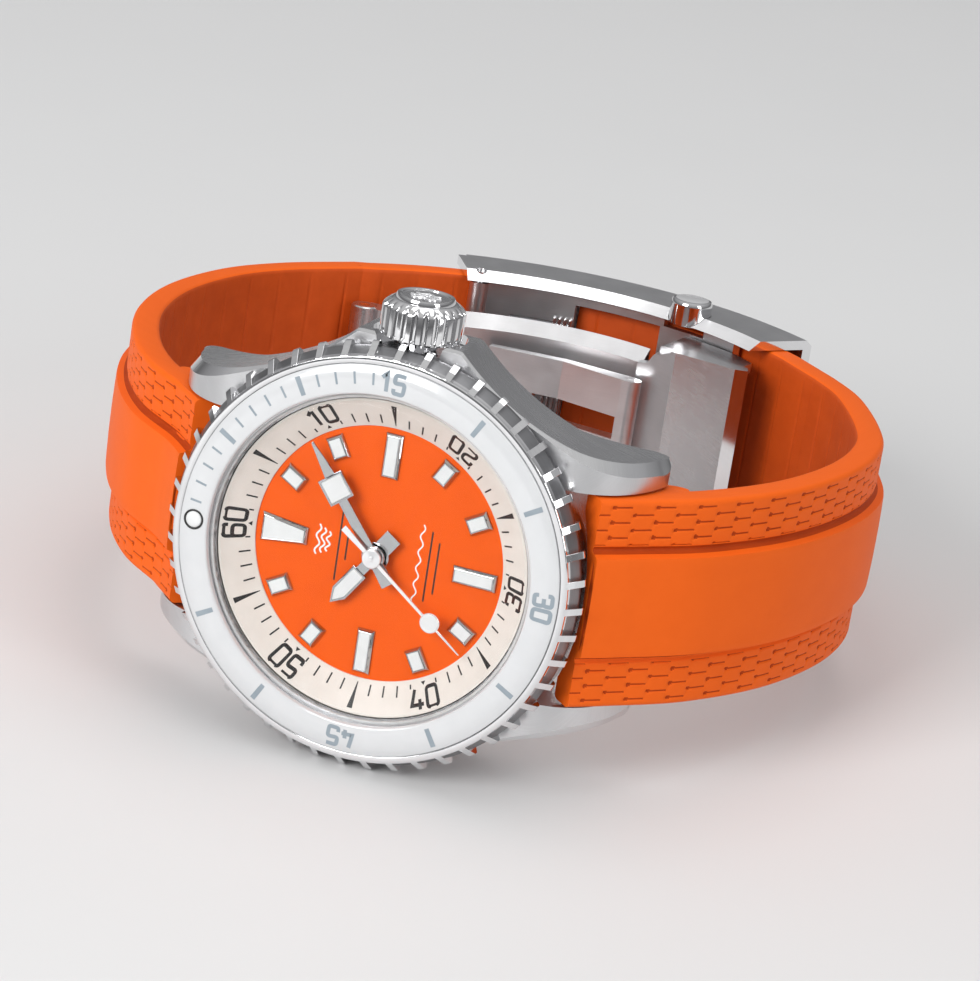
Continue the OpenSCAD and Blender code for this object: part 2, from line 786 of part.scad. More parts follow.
module clasp_frame() {
    blade = clasp_arc(21.8, -42, 12, 12);
    color("silver") on_strap() difference() {
        union() {
            slab(concat(blade, [[5.5, 56.2]], reversed(beside(blade, 1))), 14.2);
            slab([[5, 55], [9, 56], [15.4, 54.6], [15.8, 53.4], [14.6, 53], [8.5, 54], [5, 54]], 15.8);
            for (s = [1, -1]) translate([0, 0, s*7.35 - 0.45]) linear_extrude(0.9)
                polygon([[6.5, 54.5], [14.8, 54], [15.2, 57], [13.2, 58.8], [7.5, 61.4]]);
            translate([barrel_pin[0], barrel_pin[1], -5.9]) cylinder(r = 1.25, h = 11.8);
            slab([[-22.6, 54], [-20.6, 51.8], [-14.4, 53.4], [-16, 55]], 11.8);
        }
        translate([barrel_pin[0], barrel_pin[1], -10]) cylinder(r = pin_r + 0.03, h = 20);
        translate([-9, 50, -3.4]) cube([12.5, 12, 6.8]);
    }
}

module clasp_floor() {
    floor_w = 17.4;
    color("silver") on_strap() difference() {
        union() {
            slab(clasp_band(floor_r - floor_t, floor_r, -24.6, 31), floor_w);
            translate([cover_pin[0], cover_pin[1], -floor_w/2]) cylinder(r = 0.95, h = floor_w);
            for (i = [0:2]) slab(clasp_band(floor_r - floor_t - 0.5, floor_r - floor_t + 0.3,
                -10 + 1.4*i, -9.3 + 1.4*i, 2), 9);
        }
        slab(clasp_band(floor_r - 3, floor_r + 1, -6, 12.5), floor_w - 1.6);
        translate([cover_pin[0], cover_pin[1], -10]) cylinder(r = pin_r + 0.02, h = 20);
        button_pockets();
    }
}

module clasp_pins() {
    color("silver") on_strap() {
        translate([barrel_pin[0], barrel_pin[1], -5.9]) cylinder(r = pin_r, h = 11.8);
        translate([cover_pin[0], cover_pin[1], -cover_w/2 + 0.2]) cylinder(r = pin_r, h = cover_w - 0.4);
        translate([blade_pin[0], blade_pin[1], -4.8]) cylinder(r = pin_r, h = 9.6);
    }
}

module clasp_cover() {
    left = -29;
    right = 38;
    color("silver") on_strap() difference() {
        union() {
            slab(clasp_band(cover_r - 1, cover_r, left + 1.5, right), cover_w);
            for (s = [1, -1]) translate([0, 0, s*(cover_w/2 - cover_wall/2) - cover_wall/2])
                linear_extrude(cover_wall) polygon(concat(clasp_arc(cover_in_r, left, right),
                    clasp_arc(cover_r - 0.5, right, left)));
        }
        translate([cover_pin[0], cover_pin[1], -20]) cylinder(r = pin_r + 0.04, h = 40);
        translate([button_at[0], button_at[1], -20]) cylinder(r = button_d/2 + 0.05, h = 40);
        for (s = [1, -1]) translate([21.4, 60, s*10.9]) rotate([0, 0, -38]) rotate([0, -s*45, 0])
            cube([3, 20, 3], center = true);
    }
}

module clasp_button(s) {
    depth = 2.4;
    color("white") on_strap() translate([button_at[0], button_at[1], s*(cover_w/2 + button_h)])
        rotate([s > 0 ? 180 : 0, 0, 0]) rotate_extrude() polygon([[0, 0], [button_d/2 - 0.25, 0],
            [button_d/2, 0.25], [button_d/2, depth], [0, depth]]);
}
module button_upper() { clasp_button(1); }
module button_lower() { clasp_button(-1); }

module clasp_blade() {
    color("silver") on_strap() difference() {
        union() {
            slab([[-9.3, 53.6], [-9.3, 52.6], [-2, 53.2], [4.4, 51.6], [5.2, 51.5], [5.2, 53.4],
                [-2, 54.3]], 9.6);
            translate([blade_pin[0], blade_pin[1], -4.8]) cylinder(r = 0.9, h = 9.6);
        }
        translate([blade_pin[0], blade_pin[1], -10]) cylinder(r = pin_r + 0.04, h = 20);
        translate([-4.5, 50, -1.1]) cube([8, 6, 2.2]);
    }
}

case_middle();
caseback();
caseback_gasket();
crown_tube();
crystal();
crystal_gasket();
rehaut();
dial();
hour_markers();
marker_lume();
bezel_spring();
spring_bar_12();
spring_bar_6();
movement_ring();
mainplate();
barrel_bridge();
train_bridge();
balance_cock();
pallet_bridge();
movement_screws();
jewels();
rotor_bearing();
strap_12();
strap_6();
clasp_frame();
clasp_floor();
clasp_pins();
bezel_ring();
bezel_insert();
bezel_pip();
winding_pinion();
crown();
crown_stem();
crown_gasket();
minute_hand();
minute_lume();
centre_wheel();
hour_hand();
hour_lume();
hour_wheel();
seconds_hand();
seconds_lume();
fourth_wheel();
third_wheel();
escape_wheel();
barrel();
mainspring();
minute_wheel();
crown_wheel();
ratchet_wheel();
pallet_fork();
balance_wheel();
hairspring();
rotor();
clasp_cover();
button_upper();
button_lower();
clasp_blade();
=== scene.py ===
"""Looks of an automatic dive watch on a closed rubber strap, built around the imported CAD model."""
import json
import math

import bpy
import bmesh
import numpy as np
from mathutils import Matrix, Vector


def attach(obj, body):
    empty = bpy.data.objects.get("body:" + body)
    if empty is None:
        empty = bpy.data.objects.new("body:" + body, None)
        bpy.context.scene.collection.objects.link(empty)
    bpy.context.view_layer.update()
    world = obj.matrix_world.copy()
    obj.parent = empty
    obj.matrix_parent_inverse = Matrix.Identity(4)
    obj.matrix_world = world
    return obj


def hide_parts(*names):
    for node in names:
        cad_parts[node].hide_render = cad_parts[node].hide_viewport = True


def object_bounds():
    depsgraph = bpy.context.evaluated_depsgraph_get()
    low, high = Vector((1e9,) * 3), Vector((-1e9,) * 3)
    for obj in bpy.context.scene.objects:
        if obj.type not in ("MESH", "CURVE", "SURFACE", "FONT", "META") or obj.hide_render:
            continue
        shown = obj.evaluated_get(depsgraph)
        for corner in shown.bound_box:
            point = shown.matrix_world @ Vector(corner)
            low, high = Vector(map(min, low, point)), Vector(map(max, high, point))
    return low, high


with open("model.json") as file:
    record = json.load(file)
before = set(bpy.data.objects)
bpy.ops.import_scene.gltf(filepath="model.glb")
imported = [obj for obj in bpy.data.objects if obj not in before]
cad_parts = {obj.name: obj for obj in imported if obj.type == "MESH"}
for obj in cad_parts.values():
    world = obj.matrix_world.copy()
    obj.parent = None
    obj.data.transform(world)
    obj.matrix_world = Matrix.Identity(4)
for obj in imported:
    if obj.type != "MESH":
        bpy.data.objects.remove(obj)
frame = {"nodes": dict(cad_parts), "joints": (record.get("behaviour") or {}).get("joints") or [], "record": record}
cad_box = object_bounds()
nodes = frame["nodes"]

# ---------- frames
# Watch coordinates: x to 3 o'clock, y to 12 o'clock, z out of the dial, from the dial's centre, in mm.
# Strap coordinates: x to 6 o'clock, y away from the dial, z to the crown, from the same point, in mm.
MM = 0.001
joints = {j["name"]: j for j in frame["joints"]}
CENTRE = Vector(joints["seconds_turn"]["pos_m"])
OUT = Vector(joints["seconds_turn"]["axis"]).normalized()
EAST = Vector(joints["crown_turn"]["axis"]).normalized()
NORTH = OUT.cross(EAST).normalized()


def placed(a, b, c):
    turn = Matrix((a, b, c)).transposed().to_4x4()
    return Matrix.Translation(CENTRE) @ turn @ Matrix.Scale(MM, 4)


WATCH = placed(EAST, NORTH, OUT)
STRAP = placed(-NORTH, -OUT, EAST)

# Main dimensions, in mm. The crown's are 0.05 and 0.25 under those of the CAD model.
CASE_R, NECK_R, CAVITY_R, SEAT_R = 17.2, 14.6, 13.42, 13.8
CASE_TOP, CASE_BOTTOM, LEDGE_Z, NECK_TOP = 0.1, -5.4, 1.9, 2.3
LUG_IN, STEM_Z, CROWN_R, CROWN_X = 9.1, -2.5, 3.4, 18.0
BAR_Y, BAR_Z = 18.4, -5.0
BEZEL_R, INSERT_R, INSERT_IN, RIBS, PIP_Y = 18.0, 16.35, 13.9, 48, 15.15
DIAL_R, REHAUT_TOP = 10.75, 1.75
STRAP_HALF, STRAP_T, BAND_HALF, BAND_H = 8.9, 2.5, 4.5, 0.8
CLASP, BAND_R = np.array([-1.5, 35.7]), 31.5
BUTTON, KNUCKLE, LEVER_PIN = (7.2, 62.4), (-22.4, 52.9), (5.2, 52.4)
COVER_PIN = CLASP + 27.8*np.array([math.sin(math.radians(-26)), math.cos(math.radians(-26))])
FLOOR_IN, FLOOR_OUT, FLOOR_HALF = 27.5, 28.4, 8.7


# ---------- small geometry
def rad(a):
    return math.radians(a)


def curve(a, b, c, d, n):
    a, b, c, d = (np.array(p, float) for p in (a, b, c, d))
    t = np.linspace(0, 1, n + 1)[:, None]
    s = 1 - t
    return s**3*a + 3*s*s*t*b + 3*s*t*t*c + t**3*d


def through(p, n):
    p = [np.array(q, float) for q in p]
    out = []
    for k in range(len(p) - 1):
        a, b, c, d = p[max(k - 1, 0)], p[k], p[k + 1], p[min(k + 2, len(p) - 1)]
        for i in range(n):
            t = i/n
            out.append(0.5*(2*b + (c - a)*t + (2*a - 5*b + 4*c - d)*t*t + (3*b - a - 3*c + d)*t**3))
    return np.array(out + [p[-1]])


def arc(r, a0, a1, n):
    a = np.radians(np.linspace(a0, a1, n + 1))
    return CLASP + r*np.stack([np.sin(a), np.cos(a)], 1)


def smoothstep(x, lo, hi):
    t = np.clip((np.asarray(x, float) - lo)/(hi - lo), 0, 1)
    return t*t*(3 - 2*t)


class Shape:
    """Vertices and faces in mm, with a material number for each face."""

    def __init__(self):
        self.v, self.f, self.m = [], [], []

    def add(self, verts, faces, mat=0):
        k = len(self.v)
        self.v += [tuple(float(x) for x in p) for p in verts]
        self.f += [tuple(i + k for i in f) for f in faces]
        self.m += list(mat) if hasattr(mat, "__len__") else [mat]*len(faces)
        return self

    def mesh(self):
        me = bpy.data.meshes.new("shape")
        me.from_pydata(self.v, [], self.f)
        me.polygons.foreach_set("material_index", self.m)
        bm = bmesh.new()
        bm.from_mesh(me)
        bmesh.ops.remove_doubles(bm, verts=bm.verts, dist=1e-5)
        bmesh.ops.dissolve_degenerate(bm, edges=bm.edges, dist=1e-6)
        bmesh.ops.recalc_face_normals(bm, faces=bm.faces)
        bm.to_mesh(me)
        bm.free()
        return me


def lathe(profile, n=192, mat=0):
    """A closed (r, z) profile turned round the z axis. mat is one number, or one for each profile edge."""
    verts, rows = [], []
    for r, z in profile:
        if abs(r) < 1e-6:
            rows.append([len(verts)]*n)
            verts.append((0, 0, z))
        else:
            rows.append(list(range(len(verts), len(verts) + n)))
            a = np.linspace(0, 2*math.pi, n, endpoint=False)
            verts += list(zip(r*np.cos(a), r*np.sin(a), [z]*n))
    faces, mats = [], []
    for k in range(len(profile)):
        a, b = rows[k], rows[(k + 1) % len(rows)]
        for i in range(n):
            j = (i + 1) % n
            f = [a[i], a[j], b[j], b[i]]
            f = [x for q, x in enumerate(f) if x not in f[:q]]
            if len(f) > 2:
                faces.append(f)
                mats.append(mat[k] if hasattr(mat, "__len__") else mat)
    return verts, faces, mats


def prism(poly, z0, z1, mat=0):
    n = len(poly)
    verts = [(x, y, z0) for x, y in poly] + [(x, y, z1) for x, y in poly]
    faces = [tuple(range(n))[::-1], tuple(range(n, 2*n))]
    faces += [(i, (i + 1) % n, (i + 1) % n + n, i + n) for i in range(n)]
    return verts, faces, [mat]*len(faces)


def loft(rings, mat=0, caps=True, cap_mat=None):
    """Closed rings of equal length joined one after another.

    mat is one number, one for each edge of a ring, or a table with a row for each ring.
    """
    n = len(rings[0])
    rows = getattr(mat, "ndim", 1) == 2
    verts = [p for r in rings for p in r]
    faces, mats = [], []
    for k in range(len(rings) - 1):
        for i in range(n):
            j = (i + 1) % n
            faces.append((k*n + i, k*n + j, (k + 1)*n + j, (k + 1)*n + i))
            mats.append(int(mat[k][i]) if rows else mat[i] if hasattr(mat, "__len__") else mat)
    if caps:
        cap = cap_mat if cap_mat is not None else 0 if hasattr(mat, "__len__") else mat
        faces += [tuple(range(n))[::-1], tuple((len(rings) - 1)*n + i for i in range(n))]
        mats += [cap, cap]
    return verts, faces, mats


def moved(part, how):
    verts, faces, mats = part
    return [tuple(how(Vector(p))) for p in verts], faces, mats


def shifted(part, x, y, z=0):
    return moved(part, lambda p: p + Vector((x, y, z)))


def mapped(part, m):
    return moved(part, lambda p: m @ p)


def mirrored(part, side):
    return moved(part, lambda p: Vector((p.x, p.y, side*p.z)))


def post(at, r, z0, z1):
    """An upright cylinder."""
    pillar = lathe([(0, z0), (r, z0), (r, z1), (0, z1)], 48)
    return moved(pillar, lambda p: Vector((p.x + at[0], p.y + at[1], p.z)))


def combine(base, tool, how):
    """The mesh that a boolean leaves of two closed meshes in mm."""
    a, b = bpy.data.objects.new("a", base), bpy.data.objects.new("b", tool)
    for o in (a, b):
        bpy.context.scene.collection.objects.link(o)
    mod = a.modifiers.new("cut", "BOOLEAN")
    mod.operation, mod.solver, mod.object = how, "EXACT", b
    bpy.context.view_layer.update()
    out = bpy.data.meshes.new_from_object(a.evaluated_get(bpy.context.evaluated_depsgraph_get()))
    for o in (a, b):
        bpy.data.objects.remove(o)
    return out


def with_mats(me, mats):
    """Gives a mesh all the materials of its piece, so that face numbers survive a boolean."""
    for m in mats[len(me.materials):]:
        me.materials.append(m)
    return me


def joined(parts, cuts, mats):
    """The union of closed parts less the cuts, as one mesh."""
    me = with_mats(Shape().add(*parts[0]).mesh(), mats)
    for p, how in [(p, "UNION") for p in parts[1:]] + [(c, "DIFFERENCE") for c in cuts]:
        me = combine(me, with_mats(Shape().add(*p).mesh(), mats), how)
    return me


# ---------- brushing directions (the "grain" map)
def grain_along(axis):
    others = [i for i in range(3) if i != axis]

    def at(p, n):
        if abs(n[axis]) > 0.8:
            return p[others[0]], p[others[1]]
        return p[axis], p[others[0]] + 1.7*p[others[1]]
    return at


def grain_round(p, n):
    r = math.hypot(p[0], p[1])
    return 17*math.atan2(p[1], p[0]), r + p[2]


def grain_clasp(p, n):
    d = (p[0] - CLASP[0], p[1] - CLASP[1])
    return 30*math.atan2(d[0], d[1]), p[2] + 0.8*math.hypot(*d)


def grain_loop(p, n):
    x, y = p[0], p[1] - 30
    return math.hypot(x, y)*math.atan2(x, y) + 0.4*p[1], p[2]


def piece(name, shape, mats, body, place=WATCH, stands_for=(), bevel=0.0, steps=2,
          bevel_over=35, sharp=40, grain=None, weighted=True):
    """One finished object: bevelled edges, grain map, shading, material, and the body that it rides on."""
    me = shape.mesh() if isinstance(shape, Shape) else shape
    bm = bmesh.new()
    bm.from_mesh(me)
    bmesh.ops.remove_doubles(bm, verts=bm.verts, dist=1e-5)
    if bevel:
        edges = [e for e in bm.edges if len(e.link_faces) == 2
                 and e.calc_face_angle(0) > rad(bevel_over) and e.calc_length() > bevel*0.6]
        bmesh.ops.bevel(bm, geom=edges, offset=bevel, offset_type="OFFSET", segments=steps, profile=0.5,
                        affect="EDGES", clamp_overlap=True, material=-1)
        bmesh.ops.dissolve_degenerate(bm, edges=bm.edges, dist=1e-6)
    layer = bm.loops.layers.uv.new("grain")
    how = grain or grain_along(0)
    for f in bm.faces:
        for loop in f.loops:
            loop[layer].uv = how(loop.vert.co, f.normal)
    bm.transform(place)
    bmesh.ops.recalc_face_normals(bm, faces=bm.faces)
    out = bpy.data.meshes.new(name)
    bm.to_mesh(out)
    bm.free()
    for m in mats:
        out.materials.append(m)
    out.shade_smooth()
    out.set_sharp_from_angle(angle=rad(sharp))
    o = bpy.data.objects.new(name, out)
    bpy.context.scene.collection.objects.link(o)
    if weighted:
        w = o.modifiers.new("weighted", "WEIGHTED_NORMAL")
        w.keep_sharp = True
    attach(o, body)
    if stands_for:
        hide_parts(*stands_for)
    return o


# ---------- materials
class Look:
    """A material being wired."""

    def __init__(self, name):
        self.mat = bpy.data.materials.new(name)
        self.mat.use_nodes = True
        self.nt = self.mat.node_tree
        self.nt.nodes.clear()
        self.out = self.nt.nodes.new("ShaderNodeOutputMaterial")

    def node(self, kind, **values):
        n = self.nt.nodes.new(kind)
        for k, v in values.items():
            if hasattr(n, k):
                setattr(n, k, v)
            else:
                n.inputs[k.replace("_", " ")].default_value = v
        return n

    def link(self, a, b):
        self.nt.links.new(a, b)

    def shader(self, **values):
        n = self.nt.nodes.new("ShaderNodeBsdfPrincipled")
        for k, v in values.items():
            n.inputs[k.replace("_", " ")].default_value = v
        self.link(n.outputs[0], self.out.inputs["Surface"])
        return n

    def coords(self, scale, own=True):
        """Grain coordinates in mm for the pieces made here, or object coordinates in m for CAD nodes."""
        if own:
            c = self.node("ShaderNodeUVMap")
            c.uv_map = "grain"
            source = c.outputs[0]
        else:
            c = self.node("ShaderNodeTexCoord")
            source = c.outputs["Object"]
        m = self.node("ShaderNodeMapping")
        m.inputs["Scale"].default_value = scale
        self.link(source, m.inputs["Vector"])
        return m.outputs[0]

    def noise(self, vector, scale=1.0, detail=3.0, rough=0.6):
        n = self.node("ShaderNodeTexNoise")
        n.inputs["Scale"].default_value = scale
        n.inputs["Detail"].default_value = detail
        n.inputs["Roughness"].default_value = rough
        self.link(vector, n.inputs["Vector"])
        return n.outputs["Fac"]

    def ramp(self, fac, low, high, lo=0.0, hi=1.0):
        n = self.node("ShaderNodeValToRGB")
        n.color_ramp.elements[0].position, n.color_ramp.elements[1].position = lo, hi
        n.color_ramp.elements[0].color, n.color_ramp.elements[1].color = (*low, 1), (*high, 1)
        self.link(fac, n.inputs["Fac"])
        return n.outputs["Color"]

    def spread(self, fac, low, high):
        n = self.node("ShaderNodeMapRange")
        n.inputs["To Min"].default_value, n.inputs["To Max"].default_value = low, high
        self.link(fac, n.inputs["Value"])
        return n.outputs["Result"]

    def bump(self, height, strength, distance, shader, before=None):
        n = self.node("ShaderNodeBump")
        n.inputs["Strength"].default_value = strength
        n.inputs["Distance"].default_value = distance
        self.link(height, n.inputs["Height"])
        if before is not None:
            self.link(before, n.inputs["Normal"])
        self.link(n.outputs[0], shader.inputs["Normal"])
        return n.outputs[0]


def metal(name, colour, rough, streak=0.0, own=True, spread=0.06, metallic=1.0, across=18.0, along=0.25):
    """Steel, brass or blued steel.

    streak is the depth of the brushing lines, and metal without it has faint smudges instead.
    """
    k = Look(name)
    s = k.shader(Metallic=metallic)
    size = 1.0 if own else 1000.0
    lines = k.noise(k.coords((along*size, across*size, across*size), own), 1.0, 2.0, 0.7)
    cloud = k.noise(k.coords((0.35*size,)*3, own), 1.0, 3.0, 0.5)
    mixed = k.node("ShaderNodeMath", operation="ADD")
    k.link(lines, mixed.inputs[0])
    k.link(cloud, mixed.inputs[1])
    half = k.node("ShaderNodeMath", operation="MULTIPLY")
    k.link(mixed.outputs[0], half.inputs[0])
    half.inputs[1].default_value = 0.5
    dark = tuple(c*(1 - spread*1.6) for c in colour)
    light = tuple(min(1, c*(1 + spread)) for c in colour)
    k.link(k.ramp(half.outputs[0], dark, light, 0.3, 0.7), s.inputs["Base Color"])
    k.link(k.spread(half.outputs[0], rough*0.75, rough*1.3), s.inputs["Roughness"])
    if streak:
        k.bump(lines, streak, 0.00002, s)
    else:
        k.bump(cloud, 0.02, 0.00002, s)
    return k.mat


def coating(name, low, high, rough, grain=0.1, own=True, scale=6.0, coat=0.0, specular=0.5, deep=0.00002):
    """Paint, ceramic, printing, luminous compound or rubber: cloudy colour and a fine grain."""
    k = Look(name)
    s = k.shader(Specular_IOR_Level=specular, Coat_Weight=coat, Coat_Roughness=0.05)
    size = 1.0 if own else 1000.0
    cloud = k.noise(k.coords((0.4*size,)*3, own), 1.0, 4.0, 0.6)
    fine = k.noise(k.coords((scale*size,)*3, own), 1.0, 3.0, 0.6)
    k.link(k.ramp(cloud, low, high, 0.35, 0.65), s.inputs["Base Color"])
    k.link(k.spread(fine, rough*0.85, rough*1.15), s.inputs["Roughness"])
    k.bump(fine, grain, deep, s)
    return k.mat


def clear(name):
    """Coated sapphire: see-through, with reflections that grow towards grazing angles."""
    k = Look(name)
    see = k.node("ShaderNodeBsdfTransparent")
    see.inputs["Color"].default_value = (0.985, 0.99, 0.99, 1)
    gloss = k.node("ShaderNodeBsdfGlossy")
    gloss.inputs["Roughness"].default_value = 0.02
    gloss.inputs["Color"].default_value = (0.9, 0.93, 0.97, 1)
    edge = k.node("ShaderNodeFresnel")
    edge.inputs["IOR"].default_value = 1.3
    smudge = k.noise(k.coords((0.5,)*3), 1.0, 3.0, 0.5)
    weight = k.node("ShaderNodeMath", operation="MULTIPLY")
    k.link(edge.outputs[0], weight.inputs[0])
    k.link(k.spread(smudge, 0.2, 0.32), weight.inputs[1])
    mix = k.node("ShaderNodeMixShader")
    k.link(weight.outputs[0], mix.inputs[0])
    k.link(see.outputs[0], mix.inputs[1])
    k.link(gloss.outputs[0], mix.inputs[2])
    k.link(mix.outputs[0], k.out.inputs["Surface"])
    return k.mat


STEEL = (0.66, 0.66, 0.67)
brushed = metal("brushed steel", STEEL, 0.3, 0.35)
satin = metal("satin steel", (0.6, 0.6, 0.61), 0.26, 0.18, across=26.0)
polished = metal("polished steel", (0.8, 0.8, 0.81), 0.07)
# Painted shade: steel darkened for the hollows between the bezel's grip ribs.
rib_gap_shade_steel = metal("steel darkened as painted shade between ribs", (0.3, 0.3, 0.31), 0.34, 0.1)
# Painted shade: polished steel made darker, so that the sides of the marker blocks read as dark reflections; the
# hands use it too.
mirror = metal("mirror steel darkened as painted shade", (0.5, 0.5, 0.51), 0.05)
# Painted highlight: steel with a white diffuse share, so that the polished chamfers, the seconds hand, the crown's
# badge and the push-piece tops look white under any light.
highlight_steel = metal("steel whitened as painted highlight", (0.93, 0.93, 0.94), 0.2, metallic=0.6)
rubber = coating("orange rubber", (0.85, 0.124, 0.0065), (0.87, 0.13, 0.0075), 0.55, 0.25, scale=9.0,
                 specular=0.15, deep=0.00003)
# Painted shade: a darker copy of the rubber for the scale grooves, the strips beside the raised band and the
# strap's ends cut to fit the case.
rubber_groove_shade = coating("orange rubber darkened as painted groove shade", (0.42, 0.045, 0.002), (0.48, 0.055, 0.003), 0.6, 0.25,
                      scale=9.0, specular=0.15, deep=0.00003)
# Painted shade: a darker copy of the rubber for the strap's inner face.
rubber_inner_shade = coating("orange rubber darkened as painted shade inside", (0.56, 0.07, 0.004), (0.62, 0.082, 0.006), 0.55, 0.25,
                       scale=9.0, specular=0.25, deep=0.00003)
lacquer = coating("orange lacquer", (0.87, 0.104, 0.002), (0.9, 0.112, 0.003), 0.45, 0.05, specular=0.15)
cream = coating("cream lacquer", (0.76, 0.71, 0.65), (0.81, 0.76, 0.7), 0.35, 0.06, specular=0.4)
ceramic = coating("white ceramic", (0.645, 0.655, 0.665), (0.665, 0.675, 0.685), 0.16, 0.02, coat=0.6)
ink = coating("black print", (0.012, 0.012, 0.012), (0.02, 0.02, 0.02), 0.4, 0.1)
grey_ink = coating("grey inlay", (0.26, 0.31, 0.35), (0.3, 0.35, 0.39), 0.35, 0.1)
white_ink = coating("white print", (0.86, 0.86, 0.85), (0.9, 0.9, 0.89), 0.4, 0.1)
lume = coating("luminous compound", (0.74, 0.75, 0.75), (0.8, 0.81, 0.81), 0.55, 0.25, scale=14.0)
sapphire = clear("sapphire")
seal_white = coating("white seal", (0.6, 0.6, 0.59), (0.68, 0.68, 0.67), 0.45, 0.1)

cad_looks = {
    "steel_brushed": metal("cad brushed steel", STEEL, 0.3, 0.3, own=False),
    "steel_polished": metal("cad polished steel", (0.8, 0.8, 0.81), 0.08, own=False),
    "rubber_orange": rubber,
    "gasket_black": coating("black seal", (0.02, 0.02, 0.02), (0.035, 0.035, 0.035), 0.5, 0.1, own=False),
    "gasket_white": coating("cad white seal", (0.6, 0.6, 0.59), (0.68, 0.68, 0.67), 0.45, 0.1, own=False),
    "sapphire": sapphire,
    "dial_orange": lacquer,
    "ring_cream": cream,
    "ceramic_white": ceramic,
    "lume_white": coating("cad lume", (0.86, 0.87, 0.86), (0.92, 0.93, 0.92), 0.55, 0.2, own=False),
    "brass_gilt": metal("gilt brass", (0.78, 0.57, 0.28), 0.22, 0.15, own=False),
    "steel_blued": metal("blued steel", (0.06, 0.11, 0.36), 0.2, own=False),
    "ruby": coating("synthetic ruby", (0.45, 0.005, 0.05), (0.6, 0.02, 0.08), 0.12, 0.02, own=False,
                    coat=1.0),
}
for part in frame["record"]["subparts"]:
    me = nodes[part["node"]].data
    me.materials.clear()
    me.materials.append(cad_looks[part["material_slot"]])


# ---------- case
def flank_line(start, pull):
    side = curve(start, pull, (12.6, 10.2), (11.3, 19.9), 60)
    end = curve((11.3, 19.9), (11.15, 21.0), (10.9, 21.2), (9.6, 21.25), 10)[1:]
    line = np.vstack([[[start[0], 0]], side, end])
    return lambda y: float(np.interp(abs(y), line[:, 1], line[:, 0]))


def case_half(side, flank):
    """One flank of the case with both its lugs, with a polished chamfer that widens towards the lug tips."""
    tip = curve((20.9, -7.2), (21.2, -8.8), (20, -9.2), (18.9, -8.7), 12)
    top = np.vstack([[[y, CASE_TOP] for y in np.linspace(0, 14.2, 36)[:-1]],
                     curve((14.2, CASE_TOP), (17.4, 0.1), (20, -2.6), (20.9, -7.2), 40), tip[1:7]])
    low = np.vstack([[[y, CASE_BOTTOM] for y in np.linspace(0, 13.6, 36)[:-1]],
                     curve((13.6, CASE_BOTTOM), (14.2, -5.6), (16.5, -7.2), (18.9, -8.7), 40), tip[-2:5:-1]])
    n = min(len(top), len(low))
    top, low = top[:n], low[:n]
    steps, thinnest = 10, 0.25
    half = []
    for t, b in zip(top, low):
        d = b - t
        height = np.linalg.norm(d)
        if height < thinnest:
            break
        d = d/height
        chamfer = min(0.28 + 0.75*smoothstep(t[0], 11.5, 19.5), 0.36*height)
        lip = min(0.2, 0.15*height)
        ring = [(LUG_IN, *t), ((LUG_IN + flank(t[0]) - chamfer)/2, *t), (flank(t[0]) - chamfer*0.85, *t)]
        high, deep = t + d*chamfer*0.8, b - d*lip
        for i in range(steps + 1):
            q = high + (deep - high)*i/steps
            ring.append((flank(q[0]), *q))
        ring += [(flank(b[0]) - lip, *b), (LUG_IN, *b)]
        half.append(ring)
    rings = [[(x, -y, z) for x, y, z in r] for r in half[:0:-1]] + half
    rings = [[(side*x, y, z) for x, y, z in r] for r in rings]
    mats = [0, 0, 1] + [2]*steps + [1, 0, 0]
    return loft(rings, mats, cap_mat=2)


case_steel = [brushed, polished, satin]
rounds = [lathe([(9, CASE_BOTTOM), (CASE_R - 0.2, CASE_BOTTOM), (CASE_R, CASE_BOTTOM + 0.2),
                 (CASE_R, CASE_TOP - 0.15), (CASE_R - 0.15, CASE_TOP), (9, CASE_TOP)], 256, 2),
          lathe([(9, -1), (NECK_R, -1), (NECK_R, NECK_TOP), (9, NECK_TOP)], 192, 0)]
along_stem = Matrix.Translation((0, 0, STEM_Z)) @ Matrix.Rotation(rad(90), 4, "Y")
cuts = [lathe([(0, -10), (CAVITY_R, -10), (CAVITY_R, 10), (0, 10)], 192, 0),
        lathe([(0, LEDGE_Z), (SEAT_R, LEDGE_Z), (SEAT_R, 10), (0, 10)], 192, 0),
        lathe([(0, -16), (16, -16), (16, CASE_BOTTOM), (0, CASE_BOTTOM)], 192, 0),
        mapped(lathe([(0, 12), (1.5, 12), (1.5, 25), (0, 25)], 48, 0), along_stem),
        mapped(lathe([(0, 17.3), (CROWN_R + 0.35, 17.3), (CROWN_R + 0.5, 18.3), (CROWN_R + 0.5, 26), (0, 26)],
                     96, 1), along_stem)]
bar_hole = lathe([(0, 8), (0.45, 8), (0.45, 10.4), (0, 10.4)], 32, 0)
for end in (1, -1):
    at = Matrix.Translation((0, end*BAR_Y, BAR_Z))
    cuts += [mapped(bar_hole, at @ Matrix.Rotation(rad(side*90), 4, "Y")) for side in (1, -1)]
halves = [case_half(1, flank_line((18.2, 4.4), (16.6, 6.2))),
          case_half(-1, flank_line((17.1, 3.8), (16.4, 7)))]
case = joined(halves + rounds, cuts, case_steel)
piece("case_shell", case, case_steel, "case", stands_for=["case_middle"],
      bevel=0.05, steps=1, bevel_over=50, sharp=28, grain=grain_along(1))

# ---------- bezel
ring_profile = [(14.7, 0.25), (16.9, 0.25), (17.2, 0.35), (17.5, 0.62), (17.52, 1.2), (17.05, 2.15),
                (16.98, 2.66), (16.9, 2.74), (16.45, 2.75), (16.4, 2.7), (16.38, 2.36), (14.7, 2.36)]
